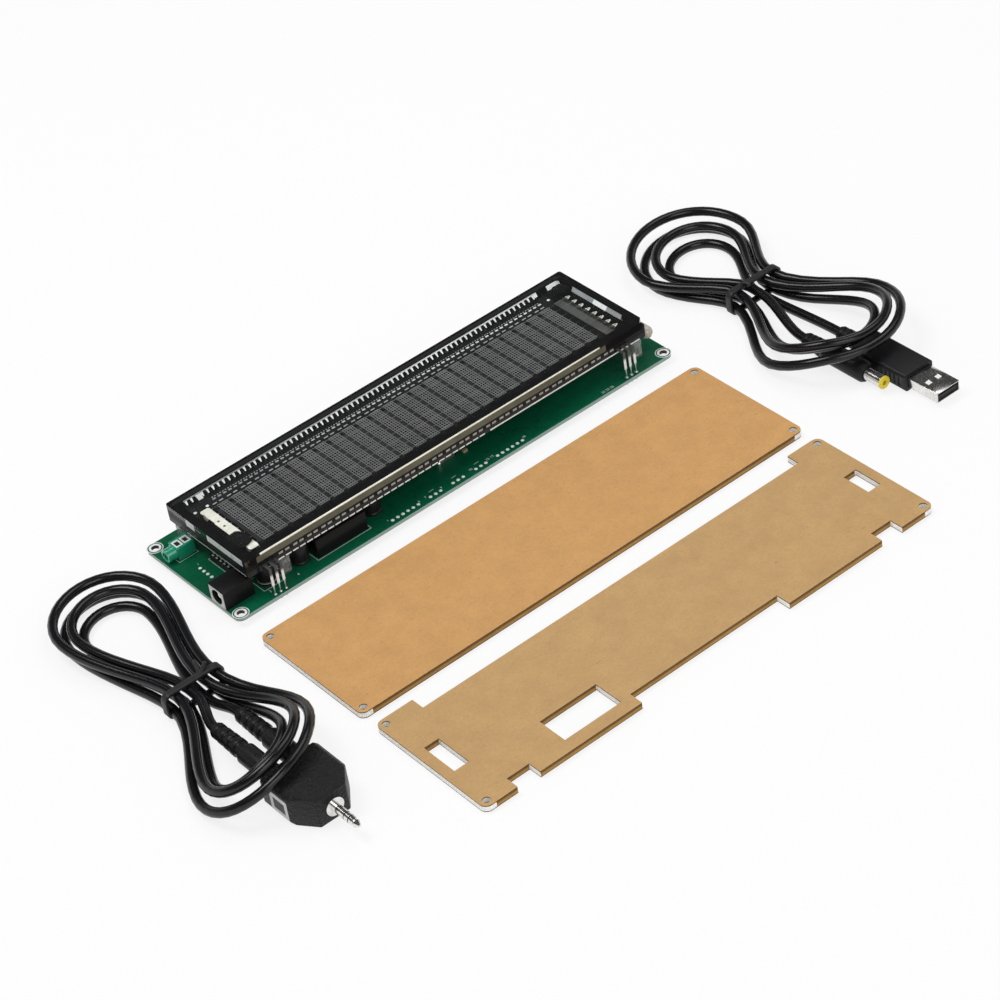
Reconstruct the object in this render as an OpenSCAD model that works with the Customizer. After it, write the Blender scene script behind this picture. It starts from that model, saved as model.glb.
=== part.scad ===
// Audio spectrum display: tube on its circuit board, two paper-faced panels and two tied leads

/* [Board and panels] */
// length of the board and of both panels
plate_l = 219; // [205:1:240]
// depth of the board and of both panels
plate_w = 63; // [58:1:70]
// corner radius of the board and panels
corner_r = 3; // [1:0.5:5]
// diameter of the corner mounting holes
hole_d = 3.2; // [2.4:0.1:3.6]
// inset of the mounting holes from the edges
hole_inset = 3; // [2.8:0.2:5]
// thickness of the circuit board
board_t = 1.6; // [1:0.2:2.4]
// room under the board for the lead tails
tail_h = 2; // [1.4:0.1:3]
// thickness of the panel sheets
sheet_t = 2.88; // [2:0.02:5]
// thickness of the paper on the panels
paper_t = 0.12; // [0.08:0.02:0.3]
// gap between the board and the plain panel
gap_board = 12.7; // [5:0.5:30]
// gap between the two panels
gap_panels = 7.5; // [3:0.5:30]
// sideways room round the board parts in the cut panel
tail_margin = 3.2; // [1:0.1:4]
// depth room round the board parts in the cut panel
row_margin = 4; // [1:0.1:4.5]

/* [Tube] */
// thickness of the base and cover glass
glass_t = 2.2; // [1.6:0.1:3]
// height of the side wall
wall_h = 3.2; // [2.8:0.1:5]
// thickness of the side wall
wall_t = 2.6; // [1.6:0.1:3.5]
// number of control grids
grid_n = 25; // [10:1:27]
// height of the control grids over the base glass
grid_h = 1; // [0.6:0.1:1.4]
// number of filament wires
wire_n = 8; // [3:1:10]
// diameter of the filament wires
wire_d = 0.24; // [0.16:0.02:0.4]
// pitch of the tube leads and of the board pads
pin_pitch = 2.54; // [2.2:0.02:2.8]
// thickness of the tube leads
lead_t = 0.25; // [0.15:0.01:0.35]
// diameter of the exhaust tip
tip_d = 5.5; // [4:0.5:7]

/* [Board parts] */
// height of the electrolytic capacitors
cap_h = 9; // [8.2:0.2:14]
// diameter of the electrolytic capacitors
cap_d = 8; // [5:0.5:8.2]
// height of the power jack
dc_jack_h = 8.2; // [7.6:0.1:8.4]
// bore of the power jack
dc_bore_d = 6.2; // [5.8:0.1:6.6]
// diameter of the power jack pin
dc_pin_d = 2; // [1.4:0.1:2.6]
// bore of the audio jack
audio_bore_d = 3.6; // [3.5:0.1:4]
// height of the potted boost block
boost_h = 8.5; // [6:0.1:9]

/* [Leads] */
// diameter of both cables
cable_d = 4; // [3:0.1:4.1]
// outer diameter of the power plug barrel
barrel_d = 5.5; // [4:0.1:5.6]
// diameter of the audio plug pins
trs_d = 3.5; // [2.5:0.1:3.6]
// width of the USB shell
usb_w = 12; // [11:0.1:13]
// height of the USB shell
usb_h = 4.5; // [4:0.1:5]

/* [Fits] */
// clearance of soldered and sealed fits
fit = 0.02; // [0.01:0.01:0.04]
// clearance of slid-in and moulded fits
slip = 0.1; // [0.06:0.02:0.16]

/* [Hidden] */
$fn = 40;
depth = 3 * plate_w + gap_board + gap_panels;
board_y = depth / 2 - plate_w / 2;
plain_y = board_y - plate_w - gap_board;
cut_y = plain_y - plate_w - gap_panels;
board_top = tail_h + board_t;
tube_end = 9.5;
tube_side = 5;
tube_l = plate_l - 2 * tube_end;
tube_w = plate_w - 2 * tube_side;
tube_x = 1.8;
tube_y = 1.2;
tube_gap = 0.7;
tube_lift = cap_h + tube_gap;
base_z = board_top + tube_lift;
base_top = base_z + glass_t;
cover_z = base_top + wall_h;
in_x = tube_l / 2 - wall_t;
in_y = tube_w / 2 - wall_t;
lead_end = 11;
lead_n = floor((tube_l - 2 * lead_end) / pin_pitch);
lead_w = 0.9;
front_lead_w = 1.2;
tail_w = 0.5;
lead_hole = 0.95;
pin_d = 0.7;
pin_hole = 1;
tail_end = 0;
lead_in = 1.2;
rear_reach = 1.7;
front_reach = 4.5;
shoulder_h = 4;
rear_in = in_y - lead_in;
rear_out = tube_w / 2 + rear_reach;
front_in = in_y - lead_in;
front_out = tube_w / 2 + front_reach;
shoulder_z = board_top + shoulder_h;
rear_xs = [for (i = [0 : lead_n - 1]) (i - (lead_n - 1) / 2) * pin_pitch];
front_left = 9.7;
front_right = 13.3;
front_mids = [front_left - tube_l / 2, tube_l / 2 - front_right];
front_xs = [for (m = front_mids, i = [-1 : 1]) m + i * pin_pitch];
rear_hole_y = tube_y + rear_out - lead_t / 2;
front_hole_y = tube_y - front_out + lead_t / 2;
field_left = 14;
field_right = 16.3;
field_front = 11;
field_rear = 14.1;
field_l = tube_l - field_left - field_right;
field_w = tube_w - field_front - field_rear;
field_mid = [(field_left - field_right) / 2, (field_front - field_rear) / 2];
tip_inset = 5.8;
tip_l = 4;
tip_neck = 1.8;
grid_pitch = field_l / grid_n;
grid_w = 0.7 * grid_pitch;
grid_t = 0.1;
wire_rise = 1.1;
wire_spread = 1.5;
wire_mid = field_mid.y - 0.8;
wire_z = base_top + grid_h + wire_rise;
wire_pitch = (field_w + wire_spread) / (wire_n - 1);
wire_ys = [for (i = [0 : wire_n - 1]) wire_mid + (i - (wire_n - 1) / 2) * wire_pitch];
wire_on = 1.8;
anchor_span = (wire_n - 1) * wire_pitch + 3.4;
anchor_left = 8.8;
anchor_right = 6.6;
anchor_shelf = 4.8;
anchor_lx = -(in_x - anchor_left);
anchor_rx = in_x - anchor_right;
edge_x = plate_l / 2;
pad_y = -plate_w / 2 + 2.5;
pad_groups = [[6, -27.4], [3, -12.4], [3, -1.1], [3, 10.4], [6, 25.3]];
left_col = [-edge_x + 7.85, -0.25];
right_col = [edge_x - 7.55, -0.8];
header_pos = [-edge_x + 15.2, 0.2];
dc_y = -18.6;
dc_l = 13.5;
dc_w = 10;
dc_axis_z = board_top + dc_jack_h - 4.1;
jack_y = plate_w / 2 - 13.9;
jack_w = 6.2;
jack_h = 5.8;
jack_nose = 4;
jack_nose_d = 5.6;
jack_l = 8;
jack_x = -edge_x + 5;
jack_axis_z = board_top + jack_h / 2;
boost_in = 54.5;
boost_pos = [-edge_x + boost_in, -18.8];
boost_l = 24.3;
boost_w = 13.6;
boost_pins = [for (sx = [-1, 1], sy = [-1, 1])
    [boost_pos.x + sx * (boost_l / 2 - 1.5), boost_pos.y + sy * (boost_w / 2 - 2.45)]];
cap_in = 21.5;
cap_mid_in = 37;
cap_far_in = 74;
cap_pos = [[-edge_x + cap_in, -20.5], [-edge_x + cap_mid_in, -20.5], [-edge_x + cap_far_in, -18]];
cap_pins = [for (p = cap_pos, s = [-1, 1]) [p.x + s * 1.75, p.y]];
header_pins = [for (i = [-2 : 2]) [header_pos.x, header_pos.y + i * pin_pitch]];
dc_pins = [[-edge_x + 4.6, dc_y - 3], [-edge_x + 4.6, dc_y + 3], [-edge_x + 11, dc_y]];
jack_pins = [[jack_x + 2, jack_y - 2], [jack_x + 2, jack_y + 2], [jack_x + 6.4, jack_y]];
round_pins = concat(boost_pins, cap_pins, header_pins, dc_pins, jack_pins);
empty_pads = concat(
    [for (g = pad_groups, i = [0 : g[0] - 1]) [g[1] + (i - (g[0] - 1) / 2) * pin_pitch, pad_y]],
    [for (i = [-2 : 2]) [left_col.x, left_col.y + i * pin_pitch]],
    [for (i = [-1.5 : 1 : 1.5]) [right_col.x, right_col.y + i * pin_pitch]]);
mount_xs = edge_x - hole_inset;
mount_ys = plate_w / 2 - hole_inset;
driver_pos = [[-15, 8], [45, 8]];
driver_size = [12.8, 7.5, 2.2];
ctrl_pos = [20, -10];
ctrl_size = [7, 7, 1.4];
chip_gap = 0.15;
crystal_pos = [4, -14];
chip_cap_pos = [[-26, -2], [-4, -2], [34, -2], [56, -2], [12, -17], [29, -13], [29, -7], [-30, 12]];
chip_res_pos = [[10, 2], [20, 2], [30, 4], [64, 4], [70, 4], [76, 4], [-58, 2], [-64, 2], [-70, 2], [-80, 6]];
pad_size = 5;
pad_rear = tube_y + tube_w / 2 - 3.7;
pad_front = tube_y - tube_w / 2 + 3.8;
pad_right = tube_x + tube_l / 2 - 4.3;
pad_left = tube_x - tube_l / 2;
pad_blocks = [[pad_left + 3.7, pad_rear], [pad_left + 17.6, pad_front],
    [pad_right, pad_rear], [pad_right, pad_front]];

// centre lines and plug places of the two leads
layer = 1.257 * cable_d;
waist = 2.2;
tie_t = 1;
strand_gap = 0.15;
tie_top = 2 * tie_t + 2 * strand_gap + 0.1 + layer + cable_d;
tie_long = 5.4;
tie_short = 4.4;
audio_x = -edge_x - 35.7;
audio_y = 20;
audio_step = 1.314 * cable_d;
audio_rear = [67, 4.4, 13.7, 2.8, 0.04];
audio_front = [59, 5.9, 15.3, 4.7, -0.22, -0.09];
audio_ride = [0.22, 0.38, 0.65, 0.32, 12.9];
plug_pitch = 11;
split_x = audio_x - 1.5;
plug_z = 6.5;
audio_end_y = -4;
grip_d = 8.4;
split_y = -42;
split_l = 25;
split_w = 26;
split_h = 13;
usb_x = edge_x + 48.5;
usb_y = 46;
usb_step = 1.457 * cable_d;
usb_rear = [48, 6, 15, 4.2, 0.07];
usb_front = [62.6, 5.2, 19.4, 5.3, 0, 0];
usb_ride = [0.1, 0.28, 0.62, 0.36, 9.8];
usb_plug_x = usb_x + 3.5;
usb_plug_z = 4.2;
usb_end_y = -1;
usb_grip_w = 15.2;
usb_grip_h = 7.8;
usb_grip_y = -15;
usb_grip_l = 30;
dc_plug_x = usb_x - 8.8;
dc_plug_z = 4.6;
dc_end_y = 6;
dc_grip_d = 8.8;
dc_grip_l = 35;
sunk = 5;
trs_core = 2.4;
trs_bore = 1.6;
trs_sleeve = 10.5;
trs_gap = 0.5;
trs_ring = 2;
trs_tip = 4.5;
trs_root = 3;
ring_at = trs_sleeve + trs_gap;
tip_at = ring_at + trs_ring + trs_gap;

// shared outlines
module rounded(l, w, r) {
    square([l - 2 * r, w], center = true);
    square([l, w - 2 * r], center = true);
    for (sx = [-1, 1], sy = [-1, 1])
        translate([sx * (l / 2 - r), sy * (w / 2 - r)]) circle(r);
}

module plate_outline() {
    difference() {
        rounded(plate_l, plate_w, corner_r);
        for (sx = [-1, 1], sy = [-1, 1])
            translate([sx * mount_xs, sy * mount_ys]) circle(d = hole_d);
    }
}

module block(size, at) {
    translate([at.x, at.y, at.z + size.z / 2]) cube(size, center = true);
}

module on_board() {
    translate([0, board_y, 0]) children();
}

module on_tube() {
    translate([tube_x, board_y + tube_y, 0]) children();
}

// axis along the front direction, starting at a point
module to_front(at) {
    translate(at) rotate([90, 0, 0]) children();
}

// circuit board and its plating
module circuit_board() {
    color("darkgreen") on_board() translate([0, 0, tail_h]) linear_extrude(board_t) difference() {
        plate_outline();
        for (x = rear_xs) translate([tube_x + x, rear_hole_y]) circle(d = lead_hole, $fn = 20);
        for (x = front_xs) translate([tube_x + x, front_hole_y]) circle(d = lead_hole, $fn = 20);
        for (p = concat(round_pins, empty_pads)) translate(p) circle(d = pin_hole, $fn = 20);
    }
}

module pad_plating() {
    color("silver") on_board() translate([0, 0, board_top]) linear_extrude(0.05) {
        for (p = empty_pads) translate(p) difference() {
            circle(d = 1.8, $fn = 24);
            circle(d = pin_hole, $fn = 20);
        }
        for (sx = [-1, 1], sy = [-1, 1]) translate([sx * mount_xs, sy * mount_ys]) difference() {
            circle(d = hole_d + 1.8);
            circle(d = hole_d);
        }
    }
}

module joint(hole) {
    r = hole / 2 - fit;
    rotate_extrude($fn = 20) polygon([[0, tail_h - 0.9], [0.4, tail_h - 0.9], [0.8, tail_h], [r, tail_h],
        [r, board_top], [0.75, board_top], [0.4, board_top + 0.5], [0, board_top + 0.5]]);
}

module tail_joint(x, y) {
    translate([x, y, 0]) difference() {
        joint(lead_hole);
        translate([0, 0, board_top]) cube([tail_w + 2 * fit, lead_t + 2 * fit, 20], center = true);
    }
}

module solder_joints() {
    color("lightgray") on_board() {
        for (x = rear_xs) tail_joint(tube_x + x, rear_hole_y);
        for (x = front_xs) tail_joint(tube_x + x, front_hole_y);
        for (p = round_pins) translate(p) rotate_extrude($fn = 20) polygon([
            [pin_d / 2 + fit, tail_h - 0.9], [pin_d / 2 + 0.15, tail_h - 0.9], [0.8, tail_h],
            [pin_hole / 2 - fit, tail_h], [pin_hole / 2 - fit, board_top], [pin_d / 2 + fit, board_top]]);
    }
}

// display tube
module tube_base_glass() {
    color("lightcyan") on_tube() translate([0, 0, base_z]) linear_extrude(glass_t) rounded(tube_l, tube_w, 1);
}

module wall_outline() {
    difference() {
        rounded(tube_l, tube_w, 1);
        rounded(2 * in_x, 2 * in_y, 2);
    }
}

module tube_side_wall() {
    slit = lead_t + fit;
    color("azure") on_tube() translate([0, 0, base_top]) {
        translate([0, 0, slit]) linear_extrude(wall_h - slit) wall_outline();
        linear_extrude(slit) difference() {
            wall_outline();
            for (x = rear_xs) translate([x, tube_w / 2]) square([lead_w + 2 * fit, 4 * wall_t], center = true);
            for (x = front_xs)
                translate([x, -tube_w / 2]) square([front_lead_w + 2 * fit, 4 * wall_t], center = true);
        }
    }
}

module tube_cover_glass() {
    color("gray") on_tube() translate([0, 0, cover_z]) linear_extrude(glass_t) difference() {
        rounded(tube_l, tube_w, 1);
        translate([tube_l / 2, -tube_w / 2]) rotate(45) square(4, center = true);
    }
}

module exhaust_tip() {
    r = tip_d / 2;
    top = base_top - glass_t / 2;
    color("wheat") on_tube() translate([tube_l / 2, -tube_w / 2 + tip_inset, 0]) {
        translate([r + 0.05, tip_l / 2, top - r]) rotate([90, 0, 0]) cylinder(r = r, h = tip_l);
        for (s = [-1, 1]) translate([r + 0.05, s * tip_l / 2, top - r]) sphere(r);
        translate([0, 0, top]) rotate([0, 90, 0]) cylinder(d = tip_neck, h = r);
    }
}

module on_field() {
    on_tube() translate(field_mid) children();
}

module anode_layer() {
    color("dimgray") on_field() translate([0, 0, base_top]) {
        linear_extrude(0.12) square([field_l, field_w], center = true);
        for (i = [0 : grid_n - 1])
            block([grid_w, field_w - 1.2, 0.24], [(i - (grid_n - 1) / 2) * grid_pitch, 0, 0]);
    }
}

module control_grids() {
    rows = 8;
    cell = field_w / rows;
    color("gainsboro") on_field() for (i = [0 : grid_n - 1])
        translate([(i - (grid_n - 1) / 2) * grid_pitch, 0, base_top]) {
            translate([0, 0, grid_h]) linear_extrude(grid_t) difference() {
                square([grid_w, field_w + 3], center = true);
                for (j = [0 : rows - 1])
                    translate([0, (j - (rows - 1) / 2) * cell])
                        square([grid_w - 0.8, cell - 0.5], center = true);
            }
            for (s = [-1, 1])
                block([grid_w, 0.6, grid_h], [0, s * (field_w / 2 + 1.2), 0]);
        }
}

module filament_wires() {
    color("tan") on_tube() for (y = wire_ys) translate([anchor_lx - 0.4, y, wire_z])
        rotate([0, 90, 0]) cylinder(d = wire_d, h = anchor_rx - anchor_lx + 0.4 + wire_on, $fn = 16);
}

module anchor(side) {
    top = wire_z - wire_d / 2;
    block([1.8, anchor_span, 0.3], [0, wire_mid, base_top]);
    block([0.4, anchor_span, top - 0.2 - base_top], [0, wire_mid, base_top]);
    for (y = wire_ys)
        translate([0, y, top - 0.2]) linear_extrude(0.2)
            polygon([[-side * 0.2, -1.4], [side * 2.4, -0.3], [side * 2.4, 0.3],
                [-side * 0.2, 1.4], [-side, 0]]);
}

module filament_anchor_left() {
    color("silver") on_tube() translate([anchor_lx, 0, 0]) anchor(-0.35);
}

module filament_anchor_right() {
    color("silver") on_tube() translate([anchor_rx, 0, 0]) {
        anchor(1);
        block([anchor_shelf, anchor_span, 0.3], [-anchor_shelf / 2, wire_mid, base_top + grid_h]);
    }
}

module getter_plate() {
    z = wire_z + 0.25;
    l = anchor_span + 0.6;
    color("wheat") on_tube() translate([anchor_lx - 2.3, wire_mid - 0.65, 0]) {
        translate([0, 0, z]) linear_extrude(0.25) difference() {
            rounded(4.2, l, 0.8);
            for (y = [2.7, 6.7]) translate([-0.3, y]) circle(d = 1.2, $fn = 24);
            translate([-2.1, l / 2 - 3]) square([1.2, 1.6], center = true);
            translate([-2.1, l / 2 - 8]) square([0.6, 4], center = true);
            translate([-2.1, 1.5 - l / 4]) square([1, 1.4], center = true);
        }
        for (s = [-1, 1]) block([0.6, 2, z - base_top], [-1.4, s * (l / 2 - 2.7), base_top]);
    }
}

module getter_ring() {
    color("white") on_tube() translate([anchor_lx - 3.2, wire_mid - 8, base_top]) {
        cylinder(d = 0.6, h = 1.2);
        translate([0, 0, 1.2]) rotate_extrude() translate([1.1, 0]) circle(d = 0.8, $fn = 20);
        translate([0, 0, 1]) linear_extrude(0.3) square([2.2, 0.5], center = true);
    }
}

module lead(x, in, out, w, s) {
    translate([x, 0, 0]) {
        y0 = s > 0 ? in : -out;
        y1 = s > 0 ? out - lead_t : -out;
        translate([-w / 2, y0, base_top]) cube([w, out - in, lead_t]);
        translate([-w / 2, y1, shoulder_z]) cube([w, lead_t, base_top + lead_t - shoulder_z]);
        translate([-tail_w / 2, y1, tail_end]) cube([tail_w, lead_t, shoulder_z - tail_end]);
    }
}

module rear_leads() {
    color("silver") on_tube() for (x = rear_xs) lead(x, rear_in, rear_out, lead_w, 1);
}

module front_leads() {
    color("silver") on_tube() for (x = front_xs) lead(x, front_in, front_out, front_lead_w, -1);
}

module tube_support_pads() {
    color("whitesmoke") on_board() for (p = pad_blocks)
        translate([p.x, p.y, board_top]) linear_extrude(tube_lift) rounded(pad_size, pad_size, pad_size / 5);
}

// jacks
module audio_jack_body() {
    color("mediumseagreen") on_board() difference() {
        union() {
            block([jack_l, jack_w, jack_h], [jack_x + jack_l / 2, jack_y, board_top]);
            translate([jack_x - jack_nose, jack_y, jack_axis_z]) rotate([0, 90, 0])
                cylinder(d = jack_nose_d, h = jack_nose);
        }
        translate([jack_x - jack_nose - 1, jack_y, jack_axis_z]) rotate([0, 90, 0])
            cylinder(d = audio_bore_d, h = jack_nose + jack_l);
        for (i = [0, 1])
            block([3.4, 4.4, 2], [jack_x + 2.1 + 3.8 * i, jack_y, board_top + jack_h - 0.5]);
        for (p = jack_pins) translate([p.x, p.y, board_top - 1])
            cylinder(d = pin_d + 2 * fit, h = 1.5, $fn = 20);
    }
}

module audio_jack_contacts() {
    color("silver") on_board() {
        for (i = [0, 1]) translate([jack_x + 2.1 + 3.8 * i, jack_y, board_top + jack_h - 0.5])
            linear_extrude(0.45) difference() {
                square([3.4 - 2 * slip, 4.4 - 2 * slip], center = true);
                square([2, 2.8], center = true);
            }
        for (p = jack_pins) translate([p.x, p.y, tail_end])
            cylinder(d = pin_d, h = board_top + 0.5 - tail_end, $fn = 20);
    }
}

module dc_jack_body() {
    color("black") on_board() difference() {
        block([dc_l, dc_w, dc_jack_h], [-edge_x + dc_l / 2, dc_y, board_top]);
        translate([-edge_x - 1, dc_y, dc_axis_z]) rotate([0, 90, 0]) cylinder(d = dc_bore_d, h = 10.5);
        translate([-edge_x, dc_y, dc_axis_z]) rotate([0, 90, 0]) cylinder(d = dc_pin_d + 2 * fit, h = 11.5);
        block([5, 1.4, dc_bore_d / 2 + 0.6], [-edge_x + 6.5, dc_y, dc_axis_z]);
        for (p = dc_pins) translate([p.x, p.y, board_top - 1]) cylinder(d = pin_d + 2 * fit, h = 1.5, $fn = 20);
    }
}

module dc_jack_pin() {
    color("silver") on_board() {
        translate([-edge_x + 1, dc_y, dc_axis_z]) rotate([0, 90, 0]) cylinder(d = dc_pin_d, h = 10.5);
        for (p = dc_pins) translate([p.x, p.y, tail_end])
            cylinder(d = pin_d, h = board_top + 0.5 - tail_end, $fn = 20);
    }
}

module dc_jack_contact() {
    color("gold") on_board()
        block([5 - 2 * slip, 1.2, 0.5], [-edge_x + 6.5, dc_y, dc_axis_z + dc_bore_d / 2 + 0.1]);
}

// boost block and capacitors
module boost_module() {
    color("black") on_board() difference() {
        translate([boost_pos.x, boost_pos.y, board_top]) linear_extrude(boost_h) rounded(boost_l, boost_w, 0.6);
        for (p = boost_pins) translate([p.x, p.y, board_top - 1])
            cylinder(d = pin_d + 2 * fit, h = 3, $fn = 20);
    }
}

module boost_module_pins() {
    color("silver") on_board() for (p = boost_pins)
        translate([p.x, p.y, tail_end]) cylinder(d = pin_d, h = board_top + 2 - tail_end, $fn = 20);
}

module electrolytic_caps() {
    r = cap_d / 2;
    color("darkslategray") on_board() {
        for (p = cap_pos) translate([p.x, p.y, board_top]) rotate_extrude() polygon([[0, 0], [r, 0], [r, 0.8],
            [r - 0.35, 1.2], [r - 0.35, 1.5], [r, 1.9], [r, cap_h - 0.4], [r - 0.4, cap_h], [0, cap_h]]);
        for (p = cap_pins) translate([p.x, p.y, tail_end])
            cylinder(d = pin_d, h = board_top - tail_end + 0.2, $fn = 20);
    }
}

// chips and small parts under the tube
module driver_chips() {
    color("#222222") on_board() for (p = driver_pos)
        block(driver_size, [p.x, p.y, board_top + chip_gap]);
}

module controller_chip() {
    color("#222222") on_board() block(ctrl_size, [ctrl_pos.x, ctrl_pos.y, board_top + chip_gap]);
}

module gull(side_y, rise, w) {
    translate([-w / 2, side_y, 0]) {
        translate([0, 0, rise]) cube([w, 0.5, 0.15]);
        translate([0, 0.35, 0]) cube([w, 0.15, rise + 0.15]);
        translate([0, 0.35, 0]) cube([w, 0.8, 0.15]);
    }
}

module chip_leads() {
    color("silver") on_board() {
        for (p = driver_pos) for (s = [0, 180]) translate([p.x, p.y, board_top]) rotate(s)
            for (i = [-4.5 : 1 : 4.5]) translate([i * 1.27, 0, 0]) gull(driver_size.y / 2, 1, 0.42);
        for (s = [0 : 90 : 270]) translate([ctrl_pos.x, ctrl_pos.y, board_top]) rotate(s)
            for (i = [-3.5 : 1 : 3.5]) translate([i * 0.8, 0, 0]) gull(ctrl_size.y / 2, 0.7, 0.35);
    }
}

module input_header() {
    color("#1a1a1a") on_board() difference() {
        block([2.5, 5 * pin_pitch, 2.5], [header_pos.x, header_pos.y, board_top]);
        for (p = header_pins) translate([p.x, p.y, board_top - 1])
            cylinder(d = pin_d + 2 * fit, h = 5, $fn = 20);
    }
}

module input_header_pins() {
    color("gold") on_board() for (p = header_pins)
        translate([p.x, p.y, tail_end]) cylinder(d = pin_d, h = board_top + cap_h - 1 - tail_end, $fn = 20);
}

module chip_part(h) {
    block([2, 1.25, h], [0, 0, 0]);
    for (s = [-1, 1]) block([0.4, 1.3, h + 0.05], [s * 0.85, 0, 0]);
}

module chip_capacitors() {
    color("tan") on_board() for (p = chip_cap_pos) translate([p.x, p.y, board_top]) chip_part(1);
}

module chip_resistors() {
    color("black") on_board() for (p = chip_res_pos) translate([p.x, p.y, board_top]) chip_part(0.5);
}

module can_outline(l, w) {
    square([l - w, w], center = true);
    for (s = [-1, 1]) translate([s * (l - w) / 2, 0]) circle(d = w);
}

module crystal() {
    color("silver") on_board() translate([crystal_pos.x, crystal_pos.y, board_top]) {
        linear_extrude(0.5) can_outline(11.2, 4.8);
        linear_extrude(3.6) can_outline(10.2, 3.8);
    }
}

// paper-faced panels
module cut_outline() {
    rear_cut = plate_w / 2 - rear_hole_y + row_margin;
    mid = [pad_groups[0][1] - 2.5 * pin_pitch, pad_groups[4][1] + 2.5 * pin_pitch];
    difference() {
        plate_outline();
        translate([tube_x - 0.5 * (lead_n - 1) * pin_pitch - tail_margin - 3, plate_w / 2 - rear_cut])
            square([(lead_n - 1) * pin_pitch + 2 * tail_margin + 4, rear_cut + 1]);
        for (m = front_mids) translate([tube_x + m - 1.2, -plate_w / 2])
            square([2 * pin_pitch + 2 * tail_margin - 1.2, 2 * (row_margin + 2)], center = true);
        translate([mid[0] - tail_margin, -plate_w / 2 - 1])
            square([mid[1] - mid[0] + 2 * tail_margin, row_margin + 3.5]);
        translate(boost_pos) square([boost_l + 2.2, boost_w + 0.4], center = true);
        translate(left_col)
            square([2 * tail_margin + 0.3, 4 * pin_pitch + 2 * row_margin - 0.8], center = true);
        translate(right_col) square([2 * tail_margin, 3 * pin_pitch + 2 * row_margin - 2.2], center = true);
    }
}

module plain_panel_sheet() {
    color("khaki") translate([0, plain_y, 0]) linear_extrude(sheet_t) plate_outline();
}

module plain_panel_wrap() {
    color("peru") translate([0, plain_y, sheet_t]) linear_extrude(paper_t) plate_outline();
}

module cut_panel_sheet() {
    color("khaki") translate([0, cut_y, 0]) linear_extrude(sheet_t) cut_outline();
}

module cut_panel_wrap() {
    color("burlywood") translate([0, cut_y, sheet_t]) linear_extrude(paper_t) cut_outline();
}

// folded leads: a figure of eight wound in two layers, held by a tie at the waist
LOOPS = 4;
PER_LOOP = 24;
TURNS = LOOPS - 0.5;
function ease(x) = let (c = min(1, max(0, x))) c * c * (3 - 2 * c);
function place(k, n) = 2 * k < n ? 2 * k : 2 * (n - 1 - k) + 1;
function side_of(a, m, w, near) = a > m
    ? w * sqrt(max(0, 1 - pow(min(1, (a - m) / (1 - m)), 2)))
    : near + (w - near) * ease(a / m);
function strand(t, x0, y0, step, rear, front, ride) = let (
    ang = 90 - 360 * t,
    c = cos(ang),
    k = min(LOOPS - 1, floor(t + 0.0001)),
    q = t - k,
    back = q < 0.4999 || t > TURNS - 0.0001,
    lobe = back ? rear : front,
    pl = place(k, back ? LOOPS : LOOPS - 1),
    ln = lobe[0] + lobe[1] * pl,
    w = lobe[2] + lobe[3] * pl,
    near = waist + step * (t < TURNS / 2 ? t : TURNS - t),
    v = (sin(ang) < 0 ? -1 : 1) * side_of(abs(c), 1 - w / ln, w, near),
    u = ln * c,
    f = 2 * (q - 0.5),
    over = back ? 0 : ease((f - ride[0]) / ride[1]) * (1 - ease((f - ride[2]) / ride[3])),
    skew = back ? 0 : front[5],
    lift = layer * ease((t - (TURNS / 2 - 0.25)) / 0.5) + (tie_t + strand_gap) * (1 - ease(abs(c) / 0.35)))
    [x0 + v + lobe[4] * u * u / ln, y0 + u + skew * v * c * c, cable_d / 2 + 0.05 + lift + ride[4] * over];
function tail_in(p, q) = let (n = 14, lead = 6 / (q.y - p.y))
    [for (i = [0 : n - 1]) let (g = ease((i / n - lead) / (1 - 2 * lead)))
        [p.x + (q.x - p.x) * g, p.y + (q.y - p.y) * i / n, p.z + (q.z - p.z) * g]];
function turned(a) = [for (i = [len(a) - 1 : -1 : 0]) a[i]];
function hank(x0, y0, step, rear, front, ride, pa, pb) = let (
    n = TURNS * PER_LOOP,
    mid = [for (i = [0 : n]) strand(i / PER_LOOP, x0, y0, step, rear, front, ride)])
    concat(tail_in(pa, mid[0]), mid, turned(tail_in(pb, mid[n])));
function unit(a) = a / norm(a);
function ring(p, dir) = let (s = unit(cross(dir, [0, 0, 1])), h = cross(s, dir))
    [for (j = [0 : 5]) p + cable_d / 2 * (cos(60 * j) * s + sin(60 * j) * h)];
function heading(c, i) = unit(c[min(i + 1, len(c) - 1)] - c[max(i - 1, 0)]);
function least_gap(c) = min([for (i = [0 : len(c) - 9], j = [i + 8 : len(c) - 1]) norm(c[i] - c[j])]) - cable_d;
function run_length(c) = [for (i = [1 : len(c) - 1]) norm(c[i] - c[i - 1])] * [for (i = [1 : len(c) - 1]) 1];

module cable(c) {
    n = len(c);
    pts = [for (i = [0 : n - 1]) each ring(c[i], heading(c, i))];
    sides = [for (i = [0 : n - 2], j = [0 : 5]) let (a = 6 * i + j, b = 6 * i + (j + 1) % 6) each
        [[a, b, a + 6], [b, b + 6, a + 6]]];
    ends = [[5, 4, 3, 2, 1, 0], [for (j = [0 : 5]) 6 * (n - 1) + j]];
    polyhedron(pts, concat(sides, ends), convexity = 20);
}

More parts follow.
